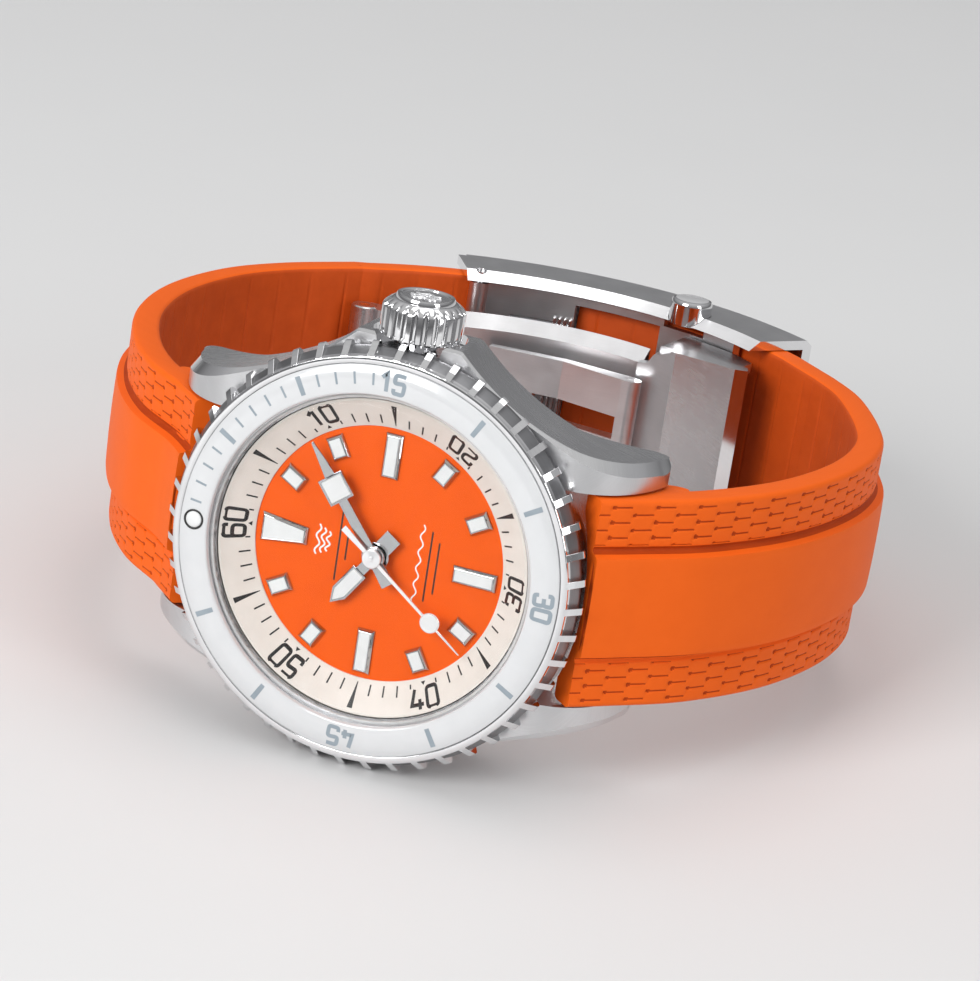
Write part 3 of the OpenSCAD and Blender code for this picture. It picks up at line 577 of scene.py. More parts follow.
# The ring's faces between the ribs take the darkened steel as painted shade; its top slope and top are polished.
ring_mats = [0, 0, 0, 0, 0, 1, 1, 1, 1, 0, 0, 0]
bezel_steel = [rib_gap_shade_steel, polished]
rib_profile = [(16.6, 0.6), (17.45, 0.52), (17.9, 0.85), (18, 1.0), (18, 1.32), (17.93, 1.46), (16.98, 2.7),
               (16.6, 2.7)]
RIB_HALF = 0.29
rib = prism(rib_profile, -RIB_HALF, RIB_HALF, 1)
ribs = Shape()
for i in range(RIBS):
    ribs.add(*mapped(rib, Matrix.Rotation(rad(i*360/RIBS), 4, "Z") @ Matrix.Rotation(rad(90), 4, "X")))
bezel = joined([lathe(ring_profile, 288, ring_mats), (ribs.v, ribs.f, ribs.m)], [], bezel_steel)
piece("bezel_grip", bezel, bezel_steel, "bezel", stands_for=["bezel_ring"],
      bevel=0.05, steps=1, bevel_over=40, sharp=30, grain=grain_round)

insert_profile = [(INSERT_IN, 2.36), (INSERT_R, 2.36), (INSERT_R, 2.78), (16.28, 2.85), (15.1, 2.9),
                  (14.12, 2.93), (13.98, 2.9), (INSERT_IN, 2.8)]
pip_hole = shifted(lathe([(0, 2.6), (0.74, 2.6), (0.74, 4), (0, 4)], 48), 0, PIP_Y)
insert = joined([lathe(insert_profile, 288)], [pip_hole], [ceramic])
piece("bezel_face", insert, [ceramic], "bezel", stands_for=["bezel_insert"], sharp=50,
      grain=grain_round)


# ---------- printed numbers and marks
def rounded(points, radius, closed=False, n=5):
    """A line with its corners rounded."""
    p = [np.array(q, float) for q in points]
    out = []
    for i, q in enumerate(p):
        if not closed and i in (0, len(p) - 1):
            out.append(q)
            continue
        a, b = p[i - 1] - q, p[(i + 1) % len(p)] - q
        la, lb = np.linalg.norm(a), np.linalg.norm(b)
        r = min(radius, 0.49*la, 0.49*lb)
        a, b = q + a/la*r, q + b/lb*r
        for k in range(n + 1):
            t = k/n
            out.append((1 - t)**2*a + 2*t*(1 - t)*q + t*t*b)
    return out


def digit(d, w=0.58):
    """Centre lines of a figure in a box w wide and 1 high, as (points, closed)."""
    r = 0.17
    return {
        0: [(rounded([(0, 0), (w, 0), (w, 1), (0, 1)], r, True), True)],
        1: [([(w*0.25, 0.74), (w*0.72, 1.0), (w*0.72, 0)], False)],
        2: [(rounded([(0, 0.72), (0, 1), (w, 1), (w, 0.56), (0, 0.34), (0, 0), (w, 0)], r), False)],
        3: [(rounded([(0, 0.76), (0, 1), (w, 1), (w, 0.53), (w*0.3, 0.53)], r), False),
            (rounded([(w*0.3, 0.53), (w, 0.53), (w, 0), (0, 0), (0, 0.24)], r), False)],
        4: [([(w*0.3, 1), (0, 0.24), (w*1.1, 0.24)], False), ([(w*0.75, 0.5), (w*0.75, 0)], False)],
        5: [(rounded([(w, 1), (0.03, 1), (0, 0.55), (w, 0.6), (w, 0), (0, 0), (0, 0.24)], r*0.9), False)],
        6: [(rounded([(0, 0), (w, 0), (w, 0.58), (0, 0.58)], r, True), True),
            (rounded([(0, 0.4), (0, 1), (w, 1), (w, 0.8)], r), False)],
    }[d]


def ribbon(points, half, closed):
    """Left and right edges of a line with that half width, mitred."""
    p = np.array(points, float)
    keep = [0] + [i for i in range(1, len(p)) if np.linalg.norm(p[i] - p[i - 1]) > 1e-6]
    p = p[keep]
    if closed and np.linalg.norm(p[0] - p[-1]) < 1e-6:
        p = p[:-1]
    n = len(p)
    left, right = [], []
    for i in range(n):
        a = p[i] - p[i - 1] if closed or i else p[1] - p[0]
        b = p[(i + 1) % n] - p[i] if closed or i < n - 1 else p[-1] - p[-2]
        a, b = a/np.linalg.norm(a), b/np.linalg.norm(b)
        na, nb = np.array([-a[1], a[0]]), np.array([-b[1], b[0]])
        m = na + nb
        m = m/max(np.linalg.norm(m), 1e-6)
        k = half/max(0.5, float(m @ na))
        left.append(p[i] + m*k)
        right.append(p[i] - m*k)
    return left, right


def dense(points, closed, step=0.15):
    """The same line with points no further apart than one step, so that it can follow a curved face."""
    p = [np.array(q, float) for q in points]
    ends = list(zip(p, p[1:] + p[:1])) if closed else list(zip(p, p[1:]))
    out = []
    for a, b in ends:
        n = max(1, math.ceil(np.linalg.norm(b - a)/step))
        out += [a + (b - a)*i/n for i in range(n)]
    return out if closed else out + [p[-1]]


# How far printed lines reach below their surface and stand above it
SINK, RISE = 0.02, 0.012


def inlay(shape, points, half, where, closed=False, rise=RISE):
    """Adds a thin raised line; where(u, v, h) puts a flat point on the surface."""
    left, right = ribbon(dense(points, closed), half, closed)
    n = len(left)
    rings = [[where(*right[i], -SINK), where(*right[i], rise), where(*left[i], rise), where(*left[i], -SINK)]
             for i in range(n)]
    if closed:
        rings.append(rings[0])
    shape.add(*loft(rings, caps=not closed))


def on_ring(minute, r0, surface, inward=False):
    """Places (u to the right, v up) on a ring face, the top of a figure outward or inward."""
    s = -1 if inward else 1

    def where(u, v, h):
        r = r0 + s*v
        a = rad(90 - 6*minute) - s*u/r0
        return (r*math.cos(a), r*math.sin(a), surface(r) + h)
    return where


def number(shape, text, minute, r0, high, half, surface, inward=False, squeeze=1.0):
    w, gap = 0.58*high, 0.26*high
    where = on_ring(minute, r0, surface, inward)
    total = len(text)*w + (len(text) - 1)*gap
    for k, c in enumerate(text):
        for j, (points, closed) in enumerate(digit(int(c))):
            pts = [(-total/2 + k*(w + gap) + p[0]*high, (p[1] - 0.5)*high*squeeze) for p in points]
            inlay(shape, pts, half, where, closed, RISE + 0.003*j)


def mark(shape, minute, r0, r1, h0, h1, surface):
    """A straight mark from radius r0, half width h0, to radius r1, half width h1."""
    n = 6
    where = on_ring(minute, r0, surface)
    rings = []
    for i in range(n + 1):
        t = i/n
        v, h = (r1 - r0)*t, h0 + (h1 - h0)*t
        rings.append([where(-h, v, -SINK), where(-h, v, RISE), where(h, v, RISE), where(h, v, -SINK)])
    shape.add(*loft(rings))


def insert_face(r):
    return float(np.interp(r, [13.98, 14.12, 15.1, 16.28, INSERT_R], [2.9, 2.93, 2.9, 2.85, 2.78]))


marks = Shape()
for m in range(1, 60):
    if m in (15, 30, 45):
        continue
    if m % 5 == 0:
        mark(marks, m, 14.4, 16.0, 0.2, 0.2, insert_face)
    elif m < 15:
        mark(marks, m, 14.75, 15.75, 0.09, 0.09, insert_face)
for m in (15, 30, 45):
    number(marks, str(m), m, PIP_Y, 1.5, 0.17, insert_face)
piece("bezel_figures", marks, [grey_ink], "bezel", sharp=60, weighted=False)

pearl_profile = [(0, 2.6), (0.7, 2.6), (0.7, 2.9), (0.6, 2.97), (0.4, 3.02), (0, 3.04)]
pearl = Shape().add(*shifted(lathe(pearl_profile, 48), 0, PIP_Y))
piece("bezel_pearl", pearl, [lume], "bezel", stands_for=["bezel_pip"], sharp=60)
rim_profile = [(0.68, 2.8), (0.86, 2.8), (0.86, 2.95), (0.78, 2.99), (0.7, 2.95)]
rim = Shape().add(*shifted(lathe(rim_profile, 48), 0, PIP_Y))
piece("bezel_pearl_rim", rim, [ink], "bezel", sharp=60)

# ---------- crystal, rehaut, dial
dome = [(13.2*(1 - i/14), 3.87 - 0.45*(1 - i/14)**2) for i in range(15)]
glass = [(0, LEDGE_Z), (13.55, LEDGE_Z), (13.55, 3.15), (13.42, 3.32)] + dome
piece("crystal_dome", Shape().add(*lathe(glass, 256)), [sapphire], "case", stands_for=["crystal"],
      sharp=50, grain=grain_round)
seal = [(13.55, LEDGE_Z), (SEAT_R, LEDGE_Z), (SEAT_R, 2.25), (13.75, 2.3), (13.6, 2.3), (13.55, 2.25)]
piece("crystal_seal", Shape().add(*lathe(seal, 256)), [seal_white], "case", stands_for=["crystal_gasket"],
      grain=grain_round)
cone = [(DIAL_R, 0), (13.34, 0), (13.34, REHAUT_TOP), (13.18, REHAUT_TOP), (13.1, REHAUT_TOP - 0.05),
        (DIAL_R + 0.06, 0.16), (DIAL_R, 0.12)]
piece("minute_ring", Shape().add(*lathe(cone, 288)), [cream], "case", stands_for=["rehaut"],
      sharp=40, grain=grain_round)


def cone_face(r):
    return float(np.interp(r, [DIAL_R, DIAL_R + 0.06, 13.1], [0.12, 0.16, REHAUT_TOP - 0.05]))


track = Shape()
for m in range(60):
    if m % 10 == 0:
        mark(track, m, 11.02, 11.3, 0.2, 0.0, cone_face)
    elif m % 5 == 0:
        mark(track, m, 11.02, 12.95, 0.035, 0.2, cone_face)
    elif m % 10 in (1, 9):
        mark(track, m, 11.08, 11.42, 0.065, 0.065, cone_face)
    else:
        mark(track, m, 11.08, 11.9, 0.065, 0.065, cone_face)
for m in (10, 20, 30, 40, 50, 60):
    number(track, str(m), m, 12.24, 1.66, 0.14, cone_face, inward=20 <= m <= 40, squeeze=0.9)
piece("minute_figures", track, [ink], "case", sharp=60, weighted=False)

plate = [(0.95, -0.4), (13.2, -0.4), (13.2, 0), (0.95, 0)]
piece("dial_plate", Shape().add(*lathe(plate, 256)), [lacquer], "case", stands_for=["dial"],
      grain=grain_round)


def flat(x, y, h):
    return (x, y, h)


def wave(x0, x1, y, swing, turns, n=40):
    t = np.linspace(0, 1, n + 1)
    return [(x0 + (x1 - x0)*a, y + swing*math.sin(2*math.pi*turns*a)) for a in t]


emblem = Shape()
for k, y in enumerate((5.3, 4.85, 4.4)):
    inlay(emblem, wave(-1.3 + 0.22*k, 1.3 - 0.22*k, y, 0.17, 2), 0.075, flat, rise=0.014)
inlay(emblem, wave(-3.4, 3.4, -3.5, 0.16, 5, 90), 0.06, flat, rise=0.014)
piece("dial_waves", emblem, [white_ink], "case", weighted=False)
lines = Shape()
for y, half_len in ((3.45, 3.1), (2.75, 1.2), (-4.35, 3.0), (-5.05, 2.2)):
    inlay(lines, [(-half_len, y), (half_len, y)], 0.07, flat)
piece("dial_lines", lines, [ink], "case", weighted=False)

# ---------- hour markers
applied, glow = Shape(), Shape()
for hour in range(1, 13):
    if hour == 12:
        r0, r1, w0, w1 = 6.15, 10.25, 1.5, 2.5
    elif hour % 3 == 0:
        r0, r1, w0, w1 = 6.5, 10.3, 1.5, 1.5
    else:
        r0, r1, w0, w1 = 8.25, 10.3, 1.55, 1.55

    def outline(inset, z):
        return [(r0 + inset, -w0/2 + inset, z), (r1 - inset, -w1/2 + inset, z), (r1 - inset, w1/2 - inset, z),
                (r0 + inset, w0/2 - inset, z)]
    turn = Matrix.Rotation(rad(90 - 30*hour), 4, "Z")
    steps = ((0, 0), (0, 0.16), (0.2, 0.42), (0.27, 0.42), (0.3, 0.36))
    block = loft([outline(inset, z) for inset, z in steps])
    applied.add(*mapped(block, turn))
    fill = loft([outline(0.29, 0.3), outline(0.29, 0.41), outline(0.34, 0.43)])
    glow.add(*mapped(fill, turn))
piece("marker_blocks", applied, [mirror], "case", stands_for=["hour_markers"],
      bevel=0.02, steps=1, bevel_over=20, sharp=20)
piece("marker_fill", glow, [lume], "case", stands_for=["marker_lume"], sharp=20)


# ---------- hands
def hand(parts, minute, name, body, node, look=mirror, bevel=0.03):
    s = Shape()
    turn = Matrix.Rotation(rad(90 - 6*minute), 4, "Z")
    for part in parts:
        s.add(*mapped(part, turn))
    return piece(name, s, [look], body, stands_for=[node], bevel=bevel, steps=2, bevel_over=40,
                 sharp=30)


def frame_of(outer, inner, z0, z1):
    """A flat frame between two outlines of equal length."""
    edges = ((outer, z0), (outer, z1), (inner, z1), (inner, z0))
    rings = [[(x, y, z) for x, y in line] for line, z in edges]
    rings.append(rings[0])
    return loft(rings, caps=False)


def boxed(x0, x1, h, inset=0.0):
    x0, x1, h = x0 + inset, x1 - inset, h - inset
    return [(x0, -h), (x1, -h), (x1, h), (x0, h)]


def hub(r_in, r, z0, z1):
    return lathe([(r_in, z0), (r, z0), (r, z1 - 0.06), (r - 0.06, z1), (r_in, z1)], 64)


# The minute mark that each hand points at, and the place of the disc on the seconds hand
MINUTE_AT, HOUR_AT, SECOND_AT, DISC_X = 8.6, 50.72, 36, 7
hand([prism([(-2.6, -0.62), (0, -0.5), (5.3, -0.42), (5.3, 0.42), (0, 0.5), (-2.6, 0.62)], 1.0, 1.2),
      prism([(7.4, -0.5), (10.55, -0.1), (10.6, 0), (10.55, 0.1), (7.4, 0.5)], 1.0, 1.2),
      frame_of(boxed(5.2, 7.5, 1.15), boxed(5.2, 7.5, 1.15, 0.2), 1.0, 1.32),
      prism(boxed(5.3, 7.4, 1.05), 1.0, 1.1), hub(0.38, 0.95, 0.95, 1.27)],
     MINUTE_AT, "minute_pointer", "minute", "minute_hand")
hand([prism(boxed(5.2, 7.5, 1.15, 0.21), 1.1, 1.34)],
     MINUTE_AT, "minute_fill", "minute", "minute_lume", lume, 0.03)
arrow = [(1.9, -0.72), (4.6, -0.72), (5.8, 0), (4.6, 0.72), (1.9, 0.72)]
inner_arrow = [(2.08, -0.54), (4.53, -0.54), (5.5, 0), (4.53, 0.54), (2.08, 0.54)]
hour_stem = [(-2.4, -0.75), (-1, -0.75), (-0.8, -0.45), (2, -0.45), (2, 0.45), (-0.8, 0.45), (-1, 0.75),
             (-2.4, 0.75)]
hand([prism(hour_stem, 0.52, 0.74), frame_of(arrow, inner_arrow, 0.52, 0.82),
      prism([(2, -0.6), (4.55, -0.6), (5.6, 0), (4.55, 0.6), (2, 0.6)], 0.52, 0.62),
      hub(0.72, 1.2, 0.47, 0.77)],
     HOUR_AT, "hour_pointer", "hour", "hour_hand")
hand([prism([(2.09, -0.53), (4.53, -0.53), (5.48, 0), (4.53, 0.53), (2.09, 0.53)], 0.62, 0.84)],
     HOUR_AT, "hour_fill", "hour", "hour_lume", lume, 0.03)
needle = [(-3.4, -0.28), (-0.5, -0.16), (6.2, -0.12), (6.2, 0.12), (-0.5, 0.16), (-3.4, 0.28)]
hand([prism(needle, 1.45, 1.57),
      prism([(7.7, -0.1), (10.45, -0.05), (10.5, 0), (10.45, 0.05), (7.7, 0.1)], 1.45, 1.57),
      shifted(lathe([(0, 1.45), (0.85, 1.45), (0.85, 1.57), (0.8, 1.61), (0, 1.61)], 48), DISC_X, 0),
      lathe([(0, 1.4), (0.8, 1.4), (0.8, 1.66), (0.74, 1.72), (0.22, 1.72), (0.2, 1.8), (0, 1.82)], 64)],
     SECOND_AT, "second_pointer", "seconds", "seconds_hand", highlight_steel, 0.02)
hand([shifted(lathe([(0, 1.6), (0.74, 1.6), (0.72, 1.66), (0, 1.68)], 48), DISC_X, 0)],
     SECOND_AT, "second_fill", "seconds", "seconds_lume", lume, 0)

# ---------- crown
FLUTES, STEPS, NOTCH = 24, 10, 0.34


def crown_ring(r, x, depth=0.0):
    """One ring of the crown at height x, cut by the flutes to a share of their full depth."""
    ring = []
    for i in range(FLUTES*STEPS):
        t = (i % STEPS)/STEPS
        a = 2*math.pi*i/(FLUTES*STEPS)
        cut = r - NOTCH*math.exp(-((t - 0.5)/0.2)**4)*depth
        ring.append((cut*math.cos(a), cut*math.sin(a), x))
    return ring


crown_side = [(0.0, -0.12, 0), (0.12, 0.0, 0.6), (0.3, 0.0, 1), (2.3, 0.0, 1), (2.45, -0.06, 0.9),
              (2.62, -0.2, 0.55), (2.8, -0.42, 0.2), (2.95, -0.66, 0.0), (3.02, -0.8, 0.0)]
crown_cap = [(2.42, 3.02), (2.4, 3.3), (2.34, 3.4), (2.14, 3.4), (2.06, 3.36), (2.02, 3.28)]
crown_rings = [crown_ring(CROWN_R + dr, x, depth) for x, dr, depth in crown_side]
crown_rings += [crown_ring(r, x) for r, x in crown_cap]
stem = Matrix.Translation((CROWN_X, 0, STEM_Z)) @ Matrix.Rotation(rad(90), 4, "Y")
crown_steel = [polished, satin]
bore = mapped(lathe([(0, -1), (1.6, -1), (1.6, 1.6), (0, 1.6)], 48), stem)
knob = joined([mapped(loft(crown_rings, 0, cap_mat=1), stem)], [bore], crown_steel)
piece("crown_knob", knob, crown_steel, "crown", stands_for=["crown"], sharp=32)
badge = Shape()
for k, y in enumerate((0.62, 0.0, -0.62)):
    inlay(badge, wave(-1.25 + 0.25*abs(k - 1), 1.25 - 0.25*abs(k - 1), y, 0.2, 1.5), 0.13,
          lambda u, v, h: stem @ Vector((-v, u, 3.28 + h)), rise=0.1)
piece("crown_badge", badge, [highlight_steel], "crown", bevel=0.02, steps=1, sharp=30)

# ---------- strap
# Outer faces of the two halves from the case to the clasp, in strap coordinates
OUTER_12 = [(-17.7, 0.5), (-20.4, 3.6), (-25.6, 8.4), (-30.1, 15.2), (-33.6, 24), (-34.9, 33.5), (-33.6, 43),
            (-30.3, 50.2), (-25.5, 56.6)]
OUTER_6 = [(17.7, 0.3), (20.4, 2.9), (25.4, 8.4), (30, 16.6), (32.6, 26), (32.9, 34.5), (31.2, 41.4),
           (27.5, 49.8), (24, 54.5)]
# Outline of the block between the lugs, for the side at 6 o'clock
EAR = [(17.7, 1.0), (20.0, 3.4), (22.0, 6.0), (22.6, 8.6), (21.2, 8.9), (19.4, 7.8), (18.2, 6.6), (17.7, 5.6)]
EDGE_R = 0.45

# Room round the clasp's two buttons, cut from the strap and the clasp's floor
button_pockets = [mirrored(post(BUTTON, 2.4, 8, 28), side) for side in (1, -1)]


def resample(line, step):
    d = np.r_[0, np.cumsum(np.linalg.norm(np.diff(line, axis=0), axis=1))]
    s = np.linspace(0, d[-1], max(2, int(round(d[-1]/step)) + 1))
    return s, np.stack([np.interp(s, d, line[:, i]) for i in (0, 1)], 1)


def scales(s, v):
    """Depth of the moulded scale pattern at distance s along the strap and v across it."""
    pitch, period, dash = 0.64, 4.0, 0.78
    out = np.zeros_like(s)
    row = np.floor(v/pitch + 0.5)
    for k in (-1, 0, 1):
        r = row + k
        dv = v - r*pitch
        odd = np.mod(r, 2)
        ds = np.mod(s - odd*period/2 + period/2, period) - period/2
        line = np.exp(-(dv/0.075)**2)*(1 - smoothstep(np.abs(ds), dash, dash + 0.1))
        dot = np.exp(-((dv/0.14)**2 + ((ds + dash)/0.17)**2))
        out = np.maximum(out, np.maximum(0.11*line, 0.2*dot))
    rise = np.mod(v/pitch, 1.0)
    odd = np.mod(np.floor(v/pitch), 2)
    ds = np.mod(s - odd*period/2 + period/2, period) - period/2
    x = dash + 0.3*rise
    slant = np.exp(-((np.abs(ds) - x)/0.07)**2)
    return out + 0.045*slant*(1 - out/0.2)


def strap_across():
    """Places across the outer face, their drop at its rounded edges, and the outline of the inner face."""
    border = np.linspace(BAND_HALF + 0.5, STRAP_HALF - EDGE_R, 44)
    inner = [0, 1.5, 3, 3.6, 3.95, 4.2, 4.42, 4.5, 4.56, 4.66, 4.8, 4.92]
    corner = [(STRAP_HALF - EDGE_R + EDGE_R*math.sin(rad(a)), EDGE_R*(math.cos(rad(a)) - 1))
              for a in (22.5, 45, 67.5, 90)]
    half_v = inner + list(border) + [c[0] for c in corner]
    half_drop = [0]*(len(inner) + len(border)) + [c[1] for c in corner]
    vs = np.array([-v for v in half_v[:0:-1]] + half_v)
    drop = np.array(half_drop[:0:-1] + half_drop)
    low_corner = [(STRAP_HALF - EDGE_R + EDGE_R*math.sin(rad(a)), -STRAP_T + EDGE_R*(1 - math.cos(rad(a))))
                  for a in (90, 67.5, 45, 22.5)]
    flat_v = np.linspace(STRAP_HALF - EDGE_R, -(STRAP_HALF - EDGE_R), 15)
    lower = low_corner + [(v, -STRAP_T) for v in flat_v] + [(-v, z) for v, z in low_corner[::-1]]
    return vs, drop, lower


def strap_relief(s, vs, fade):
    """Height of the outer face's band, grooves and scales, and 1 where the darker rubber paints shade in the
    grooves.
    """
    V, S = np.meshgrid(vs, s)
    band = 1 - smoothstep(np.abs(V), 4.15, 4.56)
    crowned = BAND_H + 0.1*(1 - (V/BAND_HALF)**2)
    height = crowned*band*fade[:, None]
    groove = -0.2*np.exp(-((np.abs(V) - 4.74)/0.17)**2)*fade[:, None]
    texture = scales(S, np.abs(V) - 5.05)*smoothstep(np.abs(V), 4.95, 5.1)
    texture = texture*(1 - smoothstep(np.abs(V), 8.35, 8.5))*smoothstep(s[-1] - S, 1.0, 1.6)
    # Painted shade: the scale grooves and the strips beside the raised band are marked for the darker rubber.
    beside_band = ((V > 4.4) & (V < 4.95)) | ((V > -4.8) & (V < -4.64))
    shade = (texture > 0.055) | (beside_band & (fade[:, None] > 0.3))
    return height + groove - texture, shade.astype(int)


def inner_ribs(s):
    """How much of the low cross ribs on the inner face stands at each distance along it."""
    pitch, first, width = 4.1, 4, 0.1
    out = 0.0*s
    for k in range(14):
        at = s[-1] - first - pitch*k
        if at > s[-1]*0.35:
            out = out + np.exp(-((s - at)/width)**2)
    return out


def strap_cuts(side):
    """Room for the case, the bezel and the spring bar."""
    upright = Matrix.Rotation(rad(-90), 4, "X")
    # The faces cut for the case and the bezel take rubber 1, painted shade on the strap's end by the case.
    cuts = [mapped(lathe([(0, lo), (r, lo), (r, hi), (0, hi)], 192, 1), upright)
            for r, lo, hi in ((CASE_R + 0.3, -5, 20), (BEZEL_R + 0.3, -5, 0.1))]
    return cuts + [shifted(lathe([(0, -20), (0.75, -20), (0.75, 20), (0, 20)], 32), side*BAR_Y, -BAR_Z)]


def strap_half(name, outer, a_join, a_end, band_end, node):
    """Half of the strap, along outer from the case and then under the clasp from a_join to a_end."""
    side = 1 if outer[0][0] > 0 else -1
    line = np.vstack([through(outer, 40), arc(BAND_R, a_join, a_end, 120)[1:]])
    s, face = resample(line, 0.16)
    tangent = np.gradient(face, axis=0)
    tangent /= np.linalg.norm(tangent, axis=1)[:, None]
    normal = side*np.stack([tangent[:, 1], -tangent[:, 0]], 1)
    angle = np.degrees(np.arctan2(face[:, 0] - CLASP[0], face[:, 1] - CLASP[1]))
    to_band_end = side*(angle - band_end)*BAND_R*math.pi/180
    fade = np.where(face[:, 1] > 30, smoothstep(to_band_end, 0.0, 1.0), 1.0)
    tip = 0.95
    end_round = np.sqrt(np.clip(1 - np.clip((tip - (s[-1] - s))/tip, 0, 1)**2, 0, 1))
    vs, drop, lower = strap_across()
    up, shade = strap_relief(s, vs, fade)
    up = up + drop[None, :]
    mid = -STRAP_T/2
    up = mid + (up - mid)*end_round[:, None]
    rib = inner_ribs(s)
    rings = []
    for i in range(len(s)):
        c, nrm = face[i], normal[i]
        ring = [(*(c + nrm*up[i, j]), vs[j]) for j in range(len(vs))]
        for v, z in lower:
            low = z + (0.09*rib[i] if abs(v) < 7.4 and z <= -STRAP_T + 1e-6 else 0)
            ring.append((*(c + nrm*(mid + (low - mid)*end_round[i])), v))
        rings.append(ring)
    # Rubber for each face: 0 plain, 1 darker as painted shade in the grooves, 2 darker as painted shade on the
    # inner face.
    table = np.full((len(s), len(rings[0])), 2)
    table[:, :len(vs) + 2] = table[:, -3:] = 0
    table[:, :len(vs)] = shade
    rings = [r for i, r in enumerate(rings) if end_round[i] > 0.12]
    rubbers = [rubber, rubber_groove_shade, rubber_inner_shade]
    ear = through([(side*x, y) for x, y in EAR], 5)
    block = prism([tuple(p) for p in ear], -STRAP_HALF + 0.02, STRAP_HALF - 0.02)
    body = joined([loft(rings, table), block], strap_cuts(side) + button_pockets, rubbers)
    return piece(name, body, rubbers, "case", place=STRAP, stands_for=[node], sharp=50,
                 grain=grain_loop, weighted=False)


strap_half("strap_upper_half", OUTER_12, -46, -23, -34, "strap_12")
strap_half("strap_lower_half", OUTER_6, 42, -9, 33, "strap_6")


# ---------- clasp
def swept(section, a0, a1, n, mat=0, end=0):
    """An (r, z) section carried round the clasp's centre from one angle to another."""
    rings = []
    for a in np.linspace(a0, a1, n + 1):
        d = (math.sin(rad(a)), math.cos(rad(a)))
        rings.append([(CLASP[0] + r*d[0], CLASP[1] + r*d[1], z) for r, z in section])
    return loft(rings, mat, cap_mat=end)


def crate(at, size, turn):
    x, y, z = (v/2 for v in size)
    box = prism([(-x, -y), (x, -y), (x, y), (-x, y)], -z, z)
    return mapped(box, Matrix.Translation(at) @ turn)


# The fourth steel is the whitened one: painted highlights on the chamfers of the lid and of the arm's band.
clasp_steel = [brushed, polished, satin, highlight_steel]
shell = [(26.5, 9.0), (27.7, 9.9), (33.3, 9.9), (34, 9.35), (34, -9.35), (33.3, -9.9), (27.7, -9.9),
         (26.5, -9.0), (33, -9.0), (33, 9.0)]
tools = [post(COVER_PIN, 0.54, -20, 20), post(BUTTON, 2.05, -20, 20),
         swept([(32.9, -12), (35, -12), (35, 12), (32.9, 12)], -31, -27.5, 4, 1)]
for s in (1, -1):
    turn = Matrix.Rotation(rad(-38), 4, "Z") @ Matrix.Rotation(rad(-s*45), 4, "Y")
    verts, faces, _ = crate((21.4, 60, s*10.9), (3, 20, 3), turn)
    tools.append((verts, faces, [1]*len(faces)))
cover = joined([swept(shell, -29, 38, 90, [3, 0, 1, 0, 1, 0, 3, 0, 2, 0], 1)], tools, clasp_steel)
piece("clasp_lid", cover, clasp_steel, "clasp_cover", place=STRAP, stands_for=["clasp_cover"],
      bevel=0.06, steps=1, bevel_over=40, sharp=30, grain=grain_clasp)

tools = [swept([(25, -7.9), (30, -7.9), (30, 7.9), (25, 7.9)], -6, 12.5, 30, 1),
         post(COVER_PIN, 0.52, -20, 20),
         swept([(25, 5.5), (28.1, 5.5), (28.1, 5.9), (25, 5.9)], -19, -6.5, 12, 1)]
floor_section = [(FLOOR_IN, -FLOOR_HALF), (FLOOR_OUT, -FLOOR_HALF), (FLOOR_OUT, FLOOR_HALF),
                 (FLOOR_IN, FLOOR_HALF)]
plate = joined([swept(floor_section, -25, 31, 80, 0, 1), post(COVER_PIN, 0.95, -FLOOR_HALF, FLOOR_HALF)],
               tools + button_pockets, clasp_steel)
piece("clasp_plate", plate, clasp_steel, "case", place=STRAP, stands_for=["clasp_floor"],
      bevel=0.07, steps=1, bevel_over=40, sharp=30, grain=grain_clasp)
rack = Shape()
for i in range(4):
    rack.add(*swept([(27.0, -6.4), (27.6, -6.4), (27.6, 6.4), (27.0, 6.4)], -10 + 1.1*i, -9.45 + 1.1*i, 2))
piece("clasp_rack", rack, [polished], "case", place=STRAP, bevel=0.08, steps=2,
      sharp=30)

plate_mats = [0, 0, 2, 1, 2, 0, 0]
wide = prism([(5, 55), (9, 56), (15.4, 54.6), (15.8, 53.4), (14.6, 53), (8.5, 54), (5, 54)], -7.9, 7.9)
wide = (wide[0], wide[1], [0, 0] + plate_mats)
arm = [swept([(20.8, -5.8), (20.8, 5.8), (21.8, 7.1), (21.8, -7.1)], -42, 18.5, 80, [0, 3, 0, 3], 1), wide]
for s in (1, -1):
    arm.append(prism([(6.5, 54.5), (14.8, 54), (15.2, 57), (13.2, 58.8), (7.5, 61.4)],
                     s*7.35 - 0.45, s*7.35 + 0.45))
arm.append(prism([(-22.6, 54), (-20.6, 51.8), (-14.4, 53.4), (-16, 55)], -5.9, 5.9))
corner = [(4, 9), (8.6, 9), (8.0, 7.75), (6.4, 7.2), (5.9, 6.3), (4, 6.1)]
tools = [crate((-2.75, 56, 0), (12.5, 12, 6.8), Matrix.Identity(4)), post(KNUCKLE, 1.2, -20, 20)]
for s in (1, -1):
    tools.append(moved(prism(corner, 50, 55.4), lambda p, s=s: Vector((p.x, p.z, s*p.y))))
blade = joined(arm, tools, clasp_steel)
piece("clasp_arm", blade, clasp_steel, "case", place=STRAP, stands_for=["clasp_frame"],
      bevel=0.05, steps=1, bevel_over=60, sharp=5, grain=grain_clasp)
knuckle = [(0.53, -5.9), (1.13, -5.9), (1.25, -5.78), (1.25, 5.78), (1.13, 5.9), (0.53, 5.9)]
piece("clasp_knuckle", Shape().add(*shifted(lathe(knuckle, 48), *KNUCKLE)), [satin], "case", place=STRAP,
      sharp=40, grain=grain_along(2))

